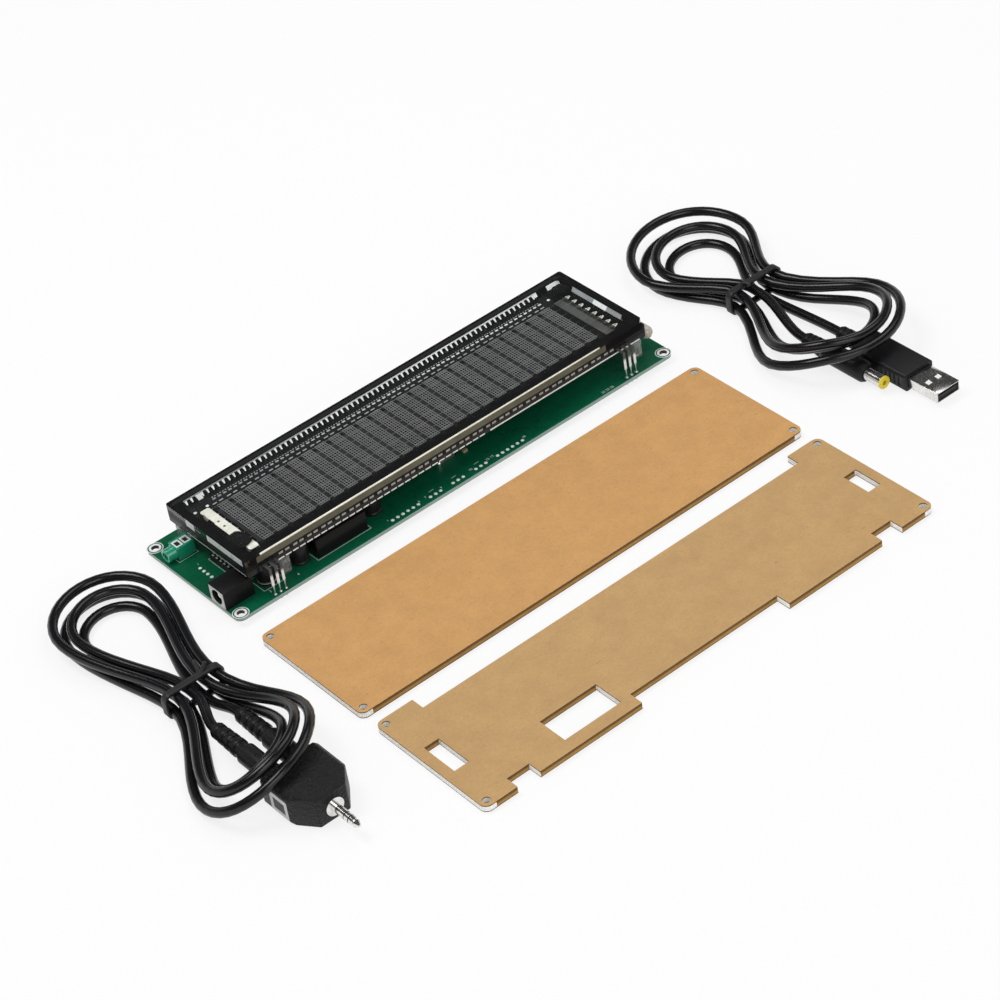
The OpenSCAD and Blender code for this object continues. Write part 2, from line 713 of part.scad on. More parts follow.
audio_a = [split_x + plug_pitch / 2, audio_end_y - sunk, plug_z];
audio_b = [split_x - plug_pitch / 2, audio_end_y - sunk, plug_z];
audio_line = hank(audio_x, audio_y, audio_step, audio_rear, audio_front, audio_ride, audio_a, audio_b);
usb_a = [usb_plug_x, usb_end_y - sunk, usb_plug_z];
usb_b = [dc_plug_x, dc_end_y - sunk, dc_plug_z];
usb_line = hank(usb_x, usb_y, usb_step, usb_rear, usb_front, usb_ride, usb_a, usb_b);
echo(audio_gap = least_gap(audio_line), audio_length = run_length(audio_line));
echo(usb_gap = least_gap(usb_line), usb_length = run_length(usb_line));

module tie_band(x0, y0, step) {
    half = waist + 1.5 * step + cable_d / 2 + strand_gap;
    low = tie_t + strand_gap - 0.05;
    high = tie_top - tie_t;
    translate([x0, y0 + 1.5, (low + high) / 2]) rotate([90, 0, 0]) linear_extrude(3) difference() {
        rounded(2 * (half + tie_t), high - low + 2 * tie_t, 3);
        rounded(2 * half, high - low, 2);
    }
}

module tie_end(from, turn, tilt, l) {
    translate(from) rotate([0, tilt, turn]) {
        cylinder(d = 1.6, h = l, $fn = 20);
        translate([0, 0, l]) sphere(d = 1.6, $fn = 20);
    }
}

module usb_lead() {
    color("#181818") cable(usb_line);
}

module usb_lead_tie() {
    color("#0c0c0c") {
        tie_band(usb_x, usb_y, usb_step);
        tie_end([usb_x - 4, usb_y - 0.2, tie_top - 0.6], -115, 62, tie_long);
        tie_end([usb_x - 4, usb_y - 0.2, tie_top - 0.6], -160, 55, tie_short);
    }
}

// ribbed strain relief round an entering cable, length along z from its rear end
module relief(l, r0, r1) {
    n = 4;
    difference() {
        union() {
            cylinder(r1 = r0, r2 = r1, h = l);
            for (i = [0 : n - 1]) translate([0, 0, 1 + i * (l - 2) / n])
                cylinder(r = r0 + (r1 - r0) * (i + 1) / n + 0.3, h = (l - 2) / n * 0.55);
        }
        translate([0, 0, -1]) cylinder(r = cable_d / 2 + slip, h = sunk + 1 + slip);
    }
}

module usb_plug_grip() {
    l = usb_end_y - usb_grip_y;
    color("#151515") difference() {
        union() {
            to_front([usb_plug_x, usb_end_y, usb_plug_z]) relief(l, cable_d / 2 + 0.75, 3.5);
            to_front([usb_plug_x, usb_grip_y, usb_plug_z]) linear_extrude(usb_grip_l)
                rounded(usb_grip_w, usb_grip_h, 1.4);
        }
        to_front([usb_plug_x, usb_grip_y - usb_grip_l + 4, usb_plug_z])
            linear_extrude(5) square([usb_w + 2 * slip, usb_h + 2 * slip], center = true);
        for (s = [-1, 1], i = [0 : 4]) block([0.8, 1.2, 4],
            [usb_plug_x + s * usb_grip_w / 2, usb_grip_y - 17 - 2.4 * i, usb_plug_z - 2]);
    }
}

module usb_plug_shell() {
    wall = 0.35;
    y0 = usb_grip_y - usb_grip_l + 4 - slip;
    color("silver") difference() {
        to_front([usb_plug_x, y0, usb_plug_z]) linear_extrude(20) difference() {
            square([usb_w, usb_h], center = true);
            square([usb_w - 2 * wall, usb_h - 2 * wall], center = true);
        }
        for (s = [-1, 1]) block([2.2, 2.2, usb_h + 4], [usb_plug_x + s * 2.6, y0 - 12, usb_plug_z]);
    }
}

module usb_plug_tongue() {
    wall = 0.35 + slip / 2;
    y0 = usb_grip_y - usb_grip_l + 4 - slip;
    color("#202020") {
        to_front([usb_plug_x, y0, usb_plug_z - usb_h / 2 + wall]) linear_extrude(4.5)
            translate([0, (usb_h - 2 * wall) / 2]) square([usb_w - 2 * wall, usb_h - 2 * wall], center = true);
        to_front([usb_plug_x, y0, usb_plug_z - usb_h / 2 + wall]) linear_extrude(19)
            translate([0, 0.9]) square([usb_w - 2 * wall, 1.8], center = true);
    }
}

module usb_plug_contacts() {
    y0 = usb_grip_y - usb_grip_l + 4 - slip;
    z = usb_plug_z - usb_h / 2 + 0.35 + slip / 2 + 1.8;
    color("gold") for (p = [[-3.5, 13.2], [-1, 12.2], [1, 12.2], [3.5, 13.2]])
        translate([usb_plug_x + p.x - 0.5, y0 - 4.5 - p.y, z]) cube([1, p.y, 0.15]);
}

module dc_plug_grip() {
    l = 12;
    r = dc_grip_d / 2;
    color("#151515") to_front([dc_plug_x, dc_end_y, dc_plug_z]) difference() {
        union() {
            relief(l, cable_d / 2 + 0.75, 3.4);
            translate([0, 0, l]) rotate_extrude() polygon([[0, 0], [r - 1, 0], [r, 1.2],
                [r, dc_grip_l - l - 1.5], [r - 0.8, dc_grip_l - l], [0, dc_grip_l - l]]);
        }
        translate([0, 0, dc_grip_l - 4]) cylinder(r = barrel_d / 2 + slip, h = 5);
    }
}

module dc_plug_barrel() {
    color("silver") to_front([dc_plug_x, dc_end_y - dc_grip_l + 4, dc_plug_z]) difference() {
        cylinder(d = barrel_d, h = 12.7);
        translate([0, 0, -1]) cylinder(d = barrel_d - 0.7, h = 15);
    }
}

module dc_plug_insulator() {
    color("gold") to_front([dc_plug_x, dc_end_y - dc_grip_l + 4, dc_plug_z]) difference() {
        union() {
            cylinder(d = barrel_d - 0.7 - 2 * fit, h = 12.7);
            translate([0, 0, 12.7]) cylinder(d = barrel_d, h = 0.8);
        }
        translate([0, 0, 2]) cylinder(d = 2.1, h = 15);
    }
}

// audio lead, its plugs and the splitter
module audio_lead() {
    color("#181818") cable(audio_line);
}

module audio_lead_tie() {
    color("#0c0c0c") {
        tie_band(audio_x, audio_y, audio_step);
        tie_end([audio_x + 4, audio_y + 0.2, tie_top - 0.6], 75, 60, tie_long);
        tie_end([audio_x + 4, audio_y + 0.2, tie_top - 0.6], 20, 55, tie_short);
    }
}

module audio_grip(at) {
    l = 18;
    r = grip_d / 2;
    full = audio_end_y - split_y;
    color("#151515") to_front([at.x, audio_end_y, plug_z]) difference() {
        union() {
            relief(l, cable_d / 2 + 0.75, 3.3);
            translate([0, 0, l]) rotate_extrude() polygon([[0, 0], [r - 0.7, 0], [r, 0.8], [r, full - l - 0.6],
                [r - 0.6, full - l], [0, full - l]]);
        }
        translate([0, 0, full - 3]) cylinder(d = trs_d + 2 * fit, h = 4);
    }
}

module audio_plug_grip_a() {
    audio_grip(audio_a);
}

module audio_plug_grip_b() {
    audio_grip(audio_b);
}

module audio_plug_pins() {
    r = trs_d / 2;
    color("silver") for (at = [audio_a, audio_b]) to_front([at.x, split_y + 3, plug_z]) rotate_extrude()
        polygon([[0, 0], [r, 0], [r, 13.6], [r - 0.6, 14.2], [r - 0.3, 15.4], [0.5, 17], [0, 17]]);
}

module splitter_body() {
    w = split_w / 2;
    color("#1c1c1c") difference() {
        translate([split_x, split_y, 0]) intersection() {
            linear_extrude(split_h) polygon([[-w, 0], [w, 0], [w, -split_l + 9], [w - 6.5, -split_l],
                [-w + 6.5, -split_l], [-w, -split_l + 9]]);
            rotate([90, 0, 0]) linear_extrude(2 * split_l + 2, center = true)
                polygon([[-w + 1.2, 0], [w - 1.2, 0], [w, 1.2], [w, split_h - 2], [w - 2, split_h],
                    [-w + 2, split_h], [-w, split_h - 2], [-w, 1.2]]);
        }
        for (at = [audio_a, audio_b]) to_front([at.x, split_y + 1, plug_z])
            cylinder(r = trs_d / 2 + slip, h = 16);
        to_front([split_x, split_y - split_l + 3, plug_z]) cylinder(r = trs_d / 2 + slip, h = 5);
    }
}

module splitter_plug_collar() {
    color("silver") to_front([split_x, split_y - split_l, plug_z]) difference() {
        cylinder(d = 7.6, h = 1.2);
        translate([0, 0, -1]) cylinder(r = trs_d / 2 + fit, h = 4);
    }
}

module at_plug() {
    to_front([split_x, split_y - split_l + trs_root - slip, plug_z]) children();
}

module splitter_plug_sleeve() {
    color("silver") at_plug() difference() {
        cylinder(d = trs_d, h = trs_sleeve);
        translate([0, 0, -1]) cylinder(d = trs_core, h = trs_sleeve + 2);
    }
}

module splitter_plug_insulators() {
    color("black") at_plug() difference() {
        union() {
            cylinder(d = trs_core - 2 * fit, h = tip_at);
            translate([0, 0, trs_sleeve]) cylinder(d = trs_d, h = trs_gap);
            translate([0, 0, tip_at - trs_gap]) cylinder(d = trs_d, h = trs_gap);
        }
        translate([0, 0, -1]) cylinder(d = trs_bore, h = tip_at + 2);
    }
}

module splitter_plug_ring() {
    color("silver") at_plug() difference() {
        translate([0, 0, ring_at]) cylinder(d = trs_d, h = trs_ring);
        cylinder(d = trs_core, h = tip_at);
    }
}

module splitter_plug_tip() {
    r = trs_d / 2;
    core = trs_bore / 2 - fit;
    color("silver") at_plug() rotate_extrude() polygon([[0, 1], [core, 1], [core, tip_at], [r, tip_at],
        [r, tip_at + 0.18 * trs_tip], [r - 0.55, tip_at + 0.36 * trs_tip], [r - 0.1, tip_at + 0.6 * trs_tip],
        [0.5, tip_at + trs_tip], [0, tip_at + trs_tip]]);
}

circuit_board();
pad_plating();
solder_joints();
tube_base_glass();
tube_side_wall();
tube_cover_glass();
exhaust_tip();
anode_layer();
control_grids();
filament_wires();
filament_anchor_left();
filament_anchor_right();
getter_plate();
getter_ring();
rear_leads();
front_leads();
tube_support_pads();
audio_jack_body();
audio_jack_contacts();
dc_jack_body();
dc_jack_pin();
dc_jack_contact();
boost_module();
boost_module_pins();
electrolytic_caps();
driver_chips();
controller_chip();
chip_leads();
input_header();
input_header_pins();
chip_capacitors();
chip_resistors();
crystal();
plain_panel_sheet();
plain_panel_wrap();
cut_panel_sheet();
cut_panel_wrap();
usb_lead();
usb_lead_tie();
usb_plug_grip();
usb_plug_shell();
usb_plug_tongue();
usb_plug_contacts();
dc_plug_grip();
dc_plug_barrel();
dc_plug_insulator();
audio_lead();
audio_lead_tie();
audio_plug_grip_a();
audio_plug_grip_b();
audio_plug_pins();
splitter_body();
splitter_plug_collar();
splitter_plug_sleeve();
splitter_plug_ring();
splitter_plug_tip();
splitter_plug_insulators();
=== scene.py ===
# %% [markdown]
# # A spectrum display kit
# The CAD model is the fixed frame: every piece below is in metres in that frame, so nothing is fitted by eye.

# %% Load the frame
import math

import bpy
from mathutils import Matrix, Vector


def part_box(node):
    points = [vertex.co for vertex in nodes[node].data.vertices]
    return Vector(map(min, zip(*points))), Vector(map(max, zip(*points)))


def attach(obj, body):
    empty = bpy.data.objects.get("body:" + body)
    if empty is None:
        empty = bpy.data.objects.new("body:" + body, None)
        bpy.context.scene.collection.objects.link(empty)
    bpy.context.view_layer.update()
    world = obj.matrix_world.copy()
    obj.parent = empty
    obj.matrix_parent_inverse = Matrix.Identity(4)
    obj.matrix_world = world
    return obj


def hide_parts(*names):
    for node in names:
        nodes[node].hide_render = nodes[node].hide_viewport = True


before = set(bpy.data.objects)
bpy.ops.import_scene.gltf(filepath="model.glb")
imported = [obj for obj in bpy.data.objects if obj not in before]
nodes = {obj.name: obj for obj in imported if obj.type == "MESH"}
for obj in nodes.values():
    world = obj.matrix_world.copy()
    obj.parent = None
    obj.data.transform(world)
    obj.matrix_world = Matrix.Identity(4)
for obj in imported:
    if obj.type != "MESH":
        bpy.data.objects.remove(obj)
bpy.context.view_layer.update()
MM = 0.001
print("CAD nodes:", len(nodes))

# %% [markdown]
# ## The camera
# A camera could be aimed with a constraint, but a matrix from its right, up and back directions is exact.

# %% Camera
EYE = (-0.5485, -0.8076, 0.7896)
RIGHT = (0.76423, -0.63143, -0.13130)
UP = (0.47715, 0.41659, 0.77381)
BACK = (-0.43391, -0.65402, 0.61966)
bpy.ops.object.camera_add()
camera = bpy.context.object
camera.name = "photo_camera"
camera.data.lens = 118.8
camera.data.sensor_width = 36
camera.data.clip_start = 0.05
camera.matrix_world = Matrix([(*axes, eye) for axes, eye in zip(zip(RIGHT, UP, BACK), EYE)] + [(0, 0, 0, 1)])
bpy.context.scene.camera = camera
print("camera at", EYE)

# %% [markdown]
# ## Helpers for hand modelling
# An operator works on what is selected, so each helper first selects only its own piece.
# A bar starts as a cube at its size and place, and its edges are bevelled in edit mode. Sizes given to the
# helpers are in millimetres.


# %% Helpers
def pick(*objs):
    """Selects only these objects, the first one active."""
    bpy.ops.object.select_all(action="DESELECT")
    for obj in objs:
        obj.select_set(True)
    bpy.context.view_layer.objects.active = objs[0]


def start(add, name, **settings):
    """Adds something new with nothing else selected, and names it."""
    bpy.ops.object.select_all(action="DESELECT")
    add(**settings)
    obj = bpy.context.object
    obj.name = name
    return obj


def settle(obj):
    """Puts an object's place, turn and size into its mesh."""
    pick(obj)
    bpy.ops.object.transform_apply(location=True, rotation=True, scale=True)
    return obj


def edit_all(obj):
    """Goes into edit mode with all of a piece selected."""
    pick(obj)
    bpy.ops.object.mode_set(mode="EDIT")
    bpy.ops.mesh.select_all(action="SELECT")


def leave_edit():
    bpy.ops.object.mode_set(mode="OBJECT")


def raise_all(height):
    """Extrudes all of the piece in edit mode upwards, and turns its faces outwards."""
    bpy.ops.mesh.select_all(action="SELECT")
    bpy.ops.mesh.extrude_region_move(TRANSFORM_OT_translate={"value": (0, 0, height * MM)})
    bpy.ops.mesh.select_all(action="SELECT")
    bpy.ops.mesh.normals_make_consistent(inside=False)


def bar(name, low, high, edge=0.0):
    """A block from corner to corner with bevelled edges."""
    middle = [(a + b) / 2 * MM for a, b in zip(low, high)]
    obj = start(bpy.ops.mesh.primitive_cube_add, name, size=1, location=middle)
    obj.scale = [(b - a) * MM for a, b in zip(low, high)]
    settle(obj)
    if edge:
        edit_all(obj)
        bpy.ops.mesh.bevel(offset=edge * MM, segments=1)
        leave_edit()
    return obj


def row(obj, count, step):
    """Repeats a piece along a step."""
    pick(obj)
    array = obj.modifiers.new("row", "ARRAY")
    array.count = count
    array.use_relative_offset = False
    array.use_constant_offset = True
    array.constant_offset_displace = [s * MM for s in step]
    bpy.ops.object.modifier_apply(modifier=array.name)
    return obj


def join(parts):
    """Joins pieces into the first one."""
    pick(*parts)
    bpy.ops.object.join()
    return parts[0]


def place_piece(obj, material, slot, *hides):
    """Gives a piece its finish and its body, and hides the CAD nodes that it stands for."""
    obj.data.materials.clear()
    obj.data.materials.append(material)
    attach(obj, "root")
    if hides:
        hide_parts(*hides)
    return obj


def finish_nodes(material, *names):
    """Gives CAD nodes a material."""
    for name in names:
        obj = nodes[name]
        if not obj.material_slots:
            obj.data.materials.append(material)
        for holder in obj.material_slots:
            holder.material = material


# %% [markdown]
# ## Shared effects
# No moulded or rolled surface is one even colour. The grain group mixes a broad and a fine noise into a shade,
# a roughness and a height, and every finish places it with its own scale. What is even all over a surface, such as
# its gloss, is set on the shader itself.


# %% Shared node groups
def put(tree, kind, inputs=None, **settings):
    """Adds a shader node with settings, and with values or links on its inputs."""
    made = tree.nodes.new(kind)
    for key, value in settings.items():
        setattr(made, key, value)
    for key, value in (inputs or {}).items():
        if isinstance(value, bpy.types.NodeSocket):
            tree.links.new(value, made.inputs[key])
        else:
            made.inputs[key].default_value = value
    return made


def calc(tree, operation, *values):
    """The result of a sum or a test, from numbers and sockets."""
    return put(tree, "ShaderNodeMath", dict(enumerate(values)), operation=operation).outputs[0]


def ramp(tree, value, low, high, first=0.0, last=1.0):
    """Goes from first to last while a value goes from low to high."""
    return put(tree, "ShaderNodeMapRange", {"Value": value, "From Min": low, "From Max": high,
                                            "To Min": first, "To Max": last}).outputs[0]


BROAD_SHARE = 0.12
grain = bpy.data.node_groups.new("grain", "ShaderNodeTree")
grain.interface.new_socket("Vector", in_out="INPUT", socket_type="NodeSocketVector")
for label in ("Scale", "Depth", "Roughness"):
    grain.interface.new_socket(label, in_out="INPUT", socket_type="NodeSocketFloat")
for label in ("Shade", "Roughness", "Height"):
    grain.interface.new_socket(label, in_out="OUTPUT", socket_type="NodeSocketFloat")
given = grain.nodes.new("NodeGroupInput").outputs
sink = grain.nodes.new("NodeGroupOutput").inputs
slow = calc(grain, "MULTIPLY", given["Scale"], BROAD_SHARE)
fine, broad = [put(grain, "ShaderNodeTexNoise", {"Vector": given["Vector"], "Scale": size,
                                                 "Detail": detail}).outputs["Fac"]
               for size, detail in [(given["Scale"], 4.0), (slow, 2.0)]]
swing = calc(grain, "SUBTRACT", calc(grain, "ADD", fine, broad), 1.0)
shade = calc(grain, "ADD", calc(grain, "MULTIPLY", swing, given["Depth"]), 1.0)
grain.links.new(shade, sink["Shade"])
grain.links.new(calc(grain, "MULTIPLY", shade, given["Roughness"]), sink["Roughness"])
grain.links.new(fine, sink["Height"])


def finish(name, colour, roughness, metallic=0.0, scale=400.0, depth=0.25, bump=0.1, relief=0.2,
           coat=0.0, gloss=0.5, clear=0.0):
    """A finish from the grain group. The relief, the depth of its bump, is in millimetres."""
    material = bpy.data.materials.new(name)
    material.use_nodes = True
    tree = material.node_tree
    shader = tree.nodes["Principled BSDF"]
    where = put(tree, "ShaderNodeTexCoord")
    speck = put(tree, "ShaderNodeGroup", {"Vector": where.outputs["Object"], "Scale": scale, "Depth": depth,
                                          "Roughness": roughness}, node_tree=grain)
    tint = put(tree, "ShaderNodeMix", {0: 1.0, 6: (*colour, 1), 7: speck.outputs["Shade"]},
               data_type="RGBA", blend_type="MULTIPLY")
    tree.links.new(tint.outputs[2], shader.inputs["Base Color"])
    tree.links.new(speck.outputs["Roughness"], shader.inputs["Roughness"])
    shader.inputs["Metallic"].default_value = metallic
    shader.inputs["Coat Weight"].default_value = coat
    shader.inputs["Specular IOR Level"].default_value = gloss
    shader.inputs["Transmission Weight"].default_value = clear
    if bump:
        height = {"Height": speck.outputs["Height"], "Strength": bump, "Distance": relief * MM}
        tree.links.new(put(tree, "ShaderNodeBump", height).outputs["Normal"], shader.inputs["Normal"])
    return material


print("groups:", grain.name)

# %% [markdown]
# ## The two leads
# Each lead is folded into a figure of eight in two layers and tied at its waist. The same formula as in the
# CAD source gives the centre line: four turns, round-ended loops, and a hump where the loops cross the plugs.

# %% Lead routes
CABLE_D = 4.0
LOOPS = 4
TURNS = LOOPS - 0.5
PER_LOOP = 72
LAYER = 1.257 * CABLE_D
CLIMB = 0.5
WAIST = 2.2
TIE_LIFT, TIE_REACH = 1.15, 0.35
ABOVE_TABLE = 0.05
SUNK = 5
STRAIGHT = 6
TAIL_POINTS = 14
TINY = 0.0001


def ease(x):
    x = min(1.0, max(0.0, x))
    return x * x * (3 - 2 * x)


def place_in(k, n):
    """The place of turn k among n turns that lie outwards and back again."""
    return 2 * k if 2 * k < n else 2 * (n - 1 - k) + 1


def half_width(a, m, w, near):
    """Half the loop's width: a round end beyond m, and an eased taper to the waist before it."""
    if a > m:
        return w * math.sqrt(max(0.0, 1 - min(1.0, (a - m) / (1 - m)) ** 2))
    return near + (w - near) * ease(a / m)


def strand(t, lead):
    """A point of the folded cable, t in turns, in millimetres."""
    angle = math.radians(90 - 360 * t)
    c = math.cos(angle)
    k = min(LOOPS - 1, math.floor(t + TINY))
    q = t - k
    back = q < 0.5 - TINY or t > TURNS - TINY
    lobe = lead["rear"] if back else lead["front"]
    turn = place_in(k, LOOPS if back else LOOPS - 1)
    length = lobe[0] + lobe[1] * turn
    width = lobe[2] + lobe[3] * turn
    near = WAIST + lead["step"] * (t if t < TURNS / 2 else TURNS - t)
    v = (-1 if math.sin(angle) < 0 else 1) * half_width(abs(c), 1 - width / length, width, near)
    u = length * c
    f = 2 * (q - 0.5)
    up, rise, down, fall, hump = lead["ride"]
    over = 0 if back else ease((f - up) / rise) * (1 - ease((f - down) / fall))
    skew = 0 if back else lead["skew"]
    lift = LAYER * ease((t - (TURNS - CLIMB) / 2) / CLIMB) + TIE_LIFT * (1 - ease(abs(c) / TIE_REACH))
    return (lead["x"] + v + lobe[4] * u * u / length, lead["y"] + u + skew * v * c * c,
            CABLE_D / 2 + ABOVE_TABLE + lift + hump * over)


def tail(plug, joint):
    """Points from inside a plug's strain relief to the waist, straight at both ends."""
    straight = STRAIGHT / (joint[1] - plug[1])
    points = []
    for i in range(TAIL_POINTS):
        share = i / TAIL_POINTS
        g = ease((share - straight) / (1 - 2 * straight))
        points.append([a + (b - a) * s for a, b, s in zip(plug, joint, (g, share, g))])
    return points


def route(lead):
    """The whole cable from one plug to the other, in metres."""
    turns = [strand(i / PER_LOOP, lead) for i in range(int(TURNS * PER_LOOP) + 1)]
    points = tail(lead["plug_a"], turns[0]) + turns + tail(lead["plug_b"], turns[-1])[::-1]
    return [[p * MM for p in point] for point in points]


audio = {"x": -145.2, "y": 20, "step": 1.314 * CABLE_D, "rear": (67, 4.4, 13.7, 2.8, 0.04),
         "front": (59, 5.9, 15.3, 4.7, -0.22), "skew": -0.09, "ride": (0.22, 0.38, 0.65, 0.32, 12.9),
         "plug_a": (-141.2, -4 - SUNK, 6.5), "plug_b": (-152.2, -4 - SUNK, 6.5)}
power = {"x": 158, "y": 46, "step": 1.457 * CABLE_D, "rear": (48, 6, 15, 4.2, 0.07),
         "front": (62.6, 5.2, 19.4, 5.3, 0), "skew": 0, "ride": (0.1, 0.28, 0.62, 0.36, 9.8),
         "plug_a": (161.5, -1 - SUNK, 4.2), "plug_b": (149.2, 6 - SUNK, 4.6)}
print("route points:", len(route(audio)), len(route(power)))

# %% [markdown]
# ## Cable jacket
# The jacket is soft black vinyl with a satin gloss: light runs along it in a narrow line. A very fine grain
# breaks the highlight, because extruded vinyl is never mirror smooth.

# %% Cables
vinyl = finish("cable_vinyl", (0.005, 0.005, 0.0062), 0.23, scale=900, depth=0.3, bump=0.06, gloss=0.42)


def cable(name, lead, node):
    """One open curve with a round bevel along the lead's route."""
    points = route(lead)
    curve = bpy.data.curves.new(name, "CURVE")
    curve.dimensions = "3D"
    curve.bevel_depth = CABLE_D / 2 * MM
    curve.bevel_resolution = 5
    curve.use_fill_caps = True
    spline = curve.splines.new("POLY")
    spline.points.add(len(points) - 1)
    for place, point in zip(spline.points, points):
        place.co = (*point, 1)
    spline.use_smooth = True
    obj = bpy.data.objects.new(name, curve)
    bpy.context.scene.collection.objects.link(obj)
    place_piece(obj, vinyl, "cable_black", node)
    length = sum(math.dist(a, b) for a, b in zip(points, points[1:]))
    print(name, "length", round(length, 3), "m")
    return obj, points[0], length


power_cable, power_exit, power_length = cable("power_cable", power, "usb_lead")
audio_cable, audio_exit, audio_length = cable("audio_cable", audio, "audio_lead")
finish_nodes(vinyl, "usb_lead", "audio_lead")

# %% [markdown]
# ## Floor, world and lamps
# The floor glows white for the camera and for reflections, but keeps part of its own shading so that the
# shadows stay. The world darkens overhead, as a studio ceiling does, and black glass then stays black. The key
# and side lamps hang high, so that the tube's cover mirrors them only when it is seen from above.


# %% Stage
def mix_out(material, share, other):
    """Blends a material's own shader with another one, and shows the result."""
    tree = material.node_tree
    own = tree.nodes["Principled BSDF"].outputs[0]
    blend = put(tree, "ShaderNodeMixShader", {0: share, 1: own, 2: other.outputs[0]})
    tree.links.new(blend.outputs[0], tree.nodes["Material Output"].inputs["Surface"])


SHADOW_KEPT = 0.2
FLOOR_Z = -0.0003
floor = start(bpy.ops.mesh.primitive_plane_add, "floor", size=8, location=(0, 0, FLOOR_Z))
floor_white = bpy.data.materials.new("floor_white")
floor_white.use_nodes = True
tree = floor_white.node_tree
shader = tree.nodes["Principled BSDF"]
shader.inputs["Base Color"].default_value = (0.94, 0.94, 0.94, 1)
shader.inputs["Roughness"].default_value = 0.9
shader.inputs["Specular IOR Level"].default_value = 0.1
rays = put(tree, "ShaderNodeLightPath").outputs
seen = calc(tree, "MAXIMUM", rays["Is Camera Ray"], rays["Is Glossy Ray"])
seen = calc(tree, "MAXIMUM", seen, rays["Is Transmission Ray"])
mix_out(floor_white, calc(tree, "MULTIPLY", seen, 1 - SHADOW_KEPT), put(tree, "ShaderNodeEmission", {"Strength": 1.0}))
floor.data.materials.append(floor_white)

world = bpy.context.scene.world or bpy.data.worlds.new("studio")
bpy.context.scene.world = world
world.use_nodes = True
tree = world.node_tree
sky = tree.nodes["Background"].inputs
where = put(tree, "ShaderNodeTexCoord")
height = put(tree, "ShaderNodeSeparateXYZ", {0: where.outputs["Generated"]}).outputs["Z"]
dome = ramp(tree, height, 0.15, 0.5, 0.9, 0.3)
mirror = ramp(tree, height, 0.12, 0.42, 1.0, 0.06)
rays = put(tree, "ShaderNodeLightPath").outputs
level = put(tree, "ShaderNodeMix", {0: rays["Is Glossy Ray"], 2: dome, 3: mirror}, data_type="FLOAT").outputs[0]
level = put(tree, "ShaderNodeMix", {0: rays["Is Camera Ray"], 2: level, 3: 1.0}, data_type="FLOAT").outputs[0]
tree.links.new(level, sky["Strength"])
sky["Color"].default_value = (1, 1, 1, 1)

for name, place, size, watts in [("key_lamp", (-0.45, 0.5, 1.4), 0.7, 9.5), ("side_lamp", (0.66, 0.12, 1.25), 0.8, 4.1),
                                 ("front_lamp", (-0.2, -1.3, 1.0), 1.0, 7)]:
    lamp = start(bpy.ops.object.light_add, name, type="AREA", location=place)
    lamp.data.size = size
    lamp.data.energy = watts
    lamp.rotation_euler = lamp.location.normalized().to_track_quat("Z", "Y").to_euler()

# %% [markdown]
# ## Masks
# A finish may change from place to place: by the direction of a face, by where it is on the object, or by a noise.
# Each is a mask from 0 to 1, and a second colour is blended in where the mask says so. Places are in millimetres.


# %% Masks
def facing(tree):
    """The parts of the direction that a face looks in."""
    face = put(tree, "ShaderNodeNewGeometry")
    return put(tree, "ShaderNodeSeparateXYZ", {0: face.outputs["True Normal"]}).outputs


def flat_faces(tree):
    """1 on faces that look up or down, 0 on edge faces."""
    return calc(tree, "GREATER_THAN", calc(tree, "ABSOLUTE", facing(tree)["Z"]), 0.5)


def scaled(tree, factors):
    """Object coordinates times factors, one for each direction."""
    where = put(tree, "ShaderNodeTexCoord")
    return put(tree, "ShaderNodeMapping", {"Vector": where.outputs["Object"], "Scale": factors}).outputs[0]


def position(tree):
    """The place on the object, in millimetres."""
    return put(tree, "ShaderNodeSeparateXYZ", {0: scaled(tree, [1 / MM] * 3)}).outputs


def noise(tree, factors, detail, roughness=0.5):
    """A noise that is stretched by factors, one for each direction."""
    return put(tree, "ShaderNodeTexNoise", {"Vector": scaled(tree, factors), "Scale": 1.0, "Detail": detail,
                                            "Roughness": roughness}).outputs["Fac"]


def tint_where(material, colour, mask):
    """Blends another colour into a finish where a mask says so."""
    tree = material.node_tree
    base = tree.nodes["Principled BSDF"].inputs["Base Color"]
    blend = put(tree, "ShaderNodeMix", {0: mask, 6: base.links[0].from_socket, 7: (*colour, 1)}, data_type="RGBA")
    tree.links.new(blend.outputs[2], base)


# %% [markdown]
# ## Board finish
# A board is glass fibre under a thin green lacquer. Copper tracks shade the lacquer a little, and the routed edge
# shows the pale core, while the walls of the corner holes get painted shade. One material can do it all: the direction
# of a face tells the edge from the top, and its place tells a hole from the rim.

# %% Solder mask
BOARD_Y = 73.1
HOLE_X, HOLE_Y, HOLE_REACH = 106.5, 28.5, 1.8
lacquer = finish("board_lacquer", (0.002, 0.108, 0.048), 0.3, scale=260, depth=0.5, bump=0.02, coat=0.1, gloss=0.25)
tree = lacquer.node_tree
tracks = put(tree, "ShaderNodeTexBrick", {"Vector": scaled(tree, (220, 520, 1)), "Scale": 1.0, "Mortar Size": 0.06,
                                          "Brick Width": 3.1, "Row Height": 0.7})
tint_where(lacquer, (0.002, 0.045, 0.022), calc(tree, "MULTIPLY", tracks.outputs["Fac"], 0.45))
edge = calc(tree, "SUBTRACT", 1.0, flat_faces(tree))
tint_where(lacquer, (0.28, 0.38, 0.33), edge)
spot = position(tree)
at_end = calc(tree, "COMPARE", calc(tree, "ABSOLUTE", spot["X"]), HOLE_X, HOLE_REACH)
across = calc(tree, "ABSOLUTE", calc(tree, "SUBTRACT", spot["Y"], BOARD_Y))
hole = calc(tree, "MULTIPLY", at_end, calc(tree, "COMPARE", across, HOLE_Y, HOLE_REACH))
# Painted shade on the walls of the corner holes.
tint_where(lacquer, (0.02, 0.022, 0.02), calc(tree, "MULTIPLY", hole, edge))
finish_nodes(lacquer, "circuit_board")
print("board finish:", lacquer.name)
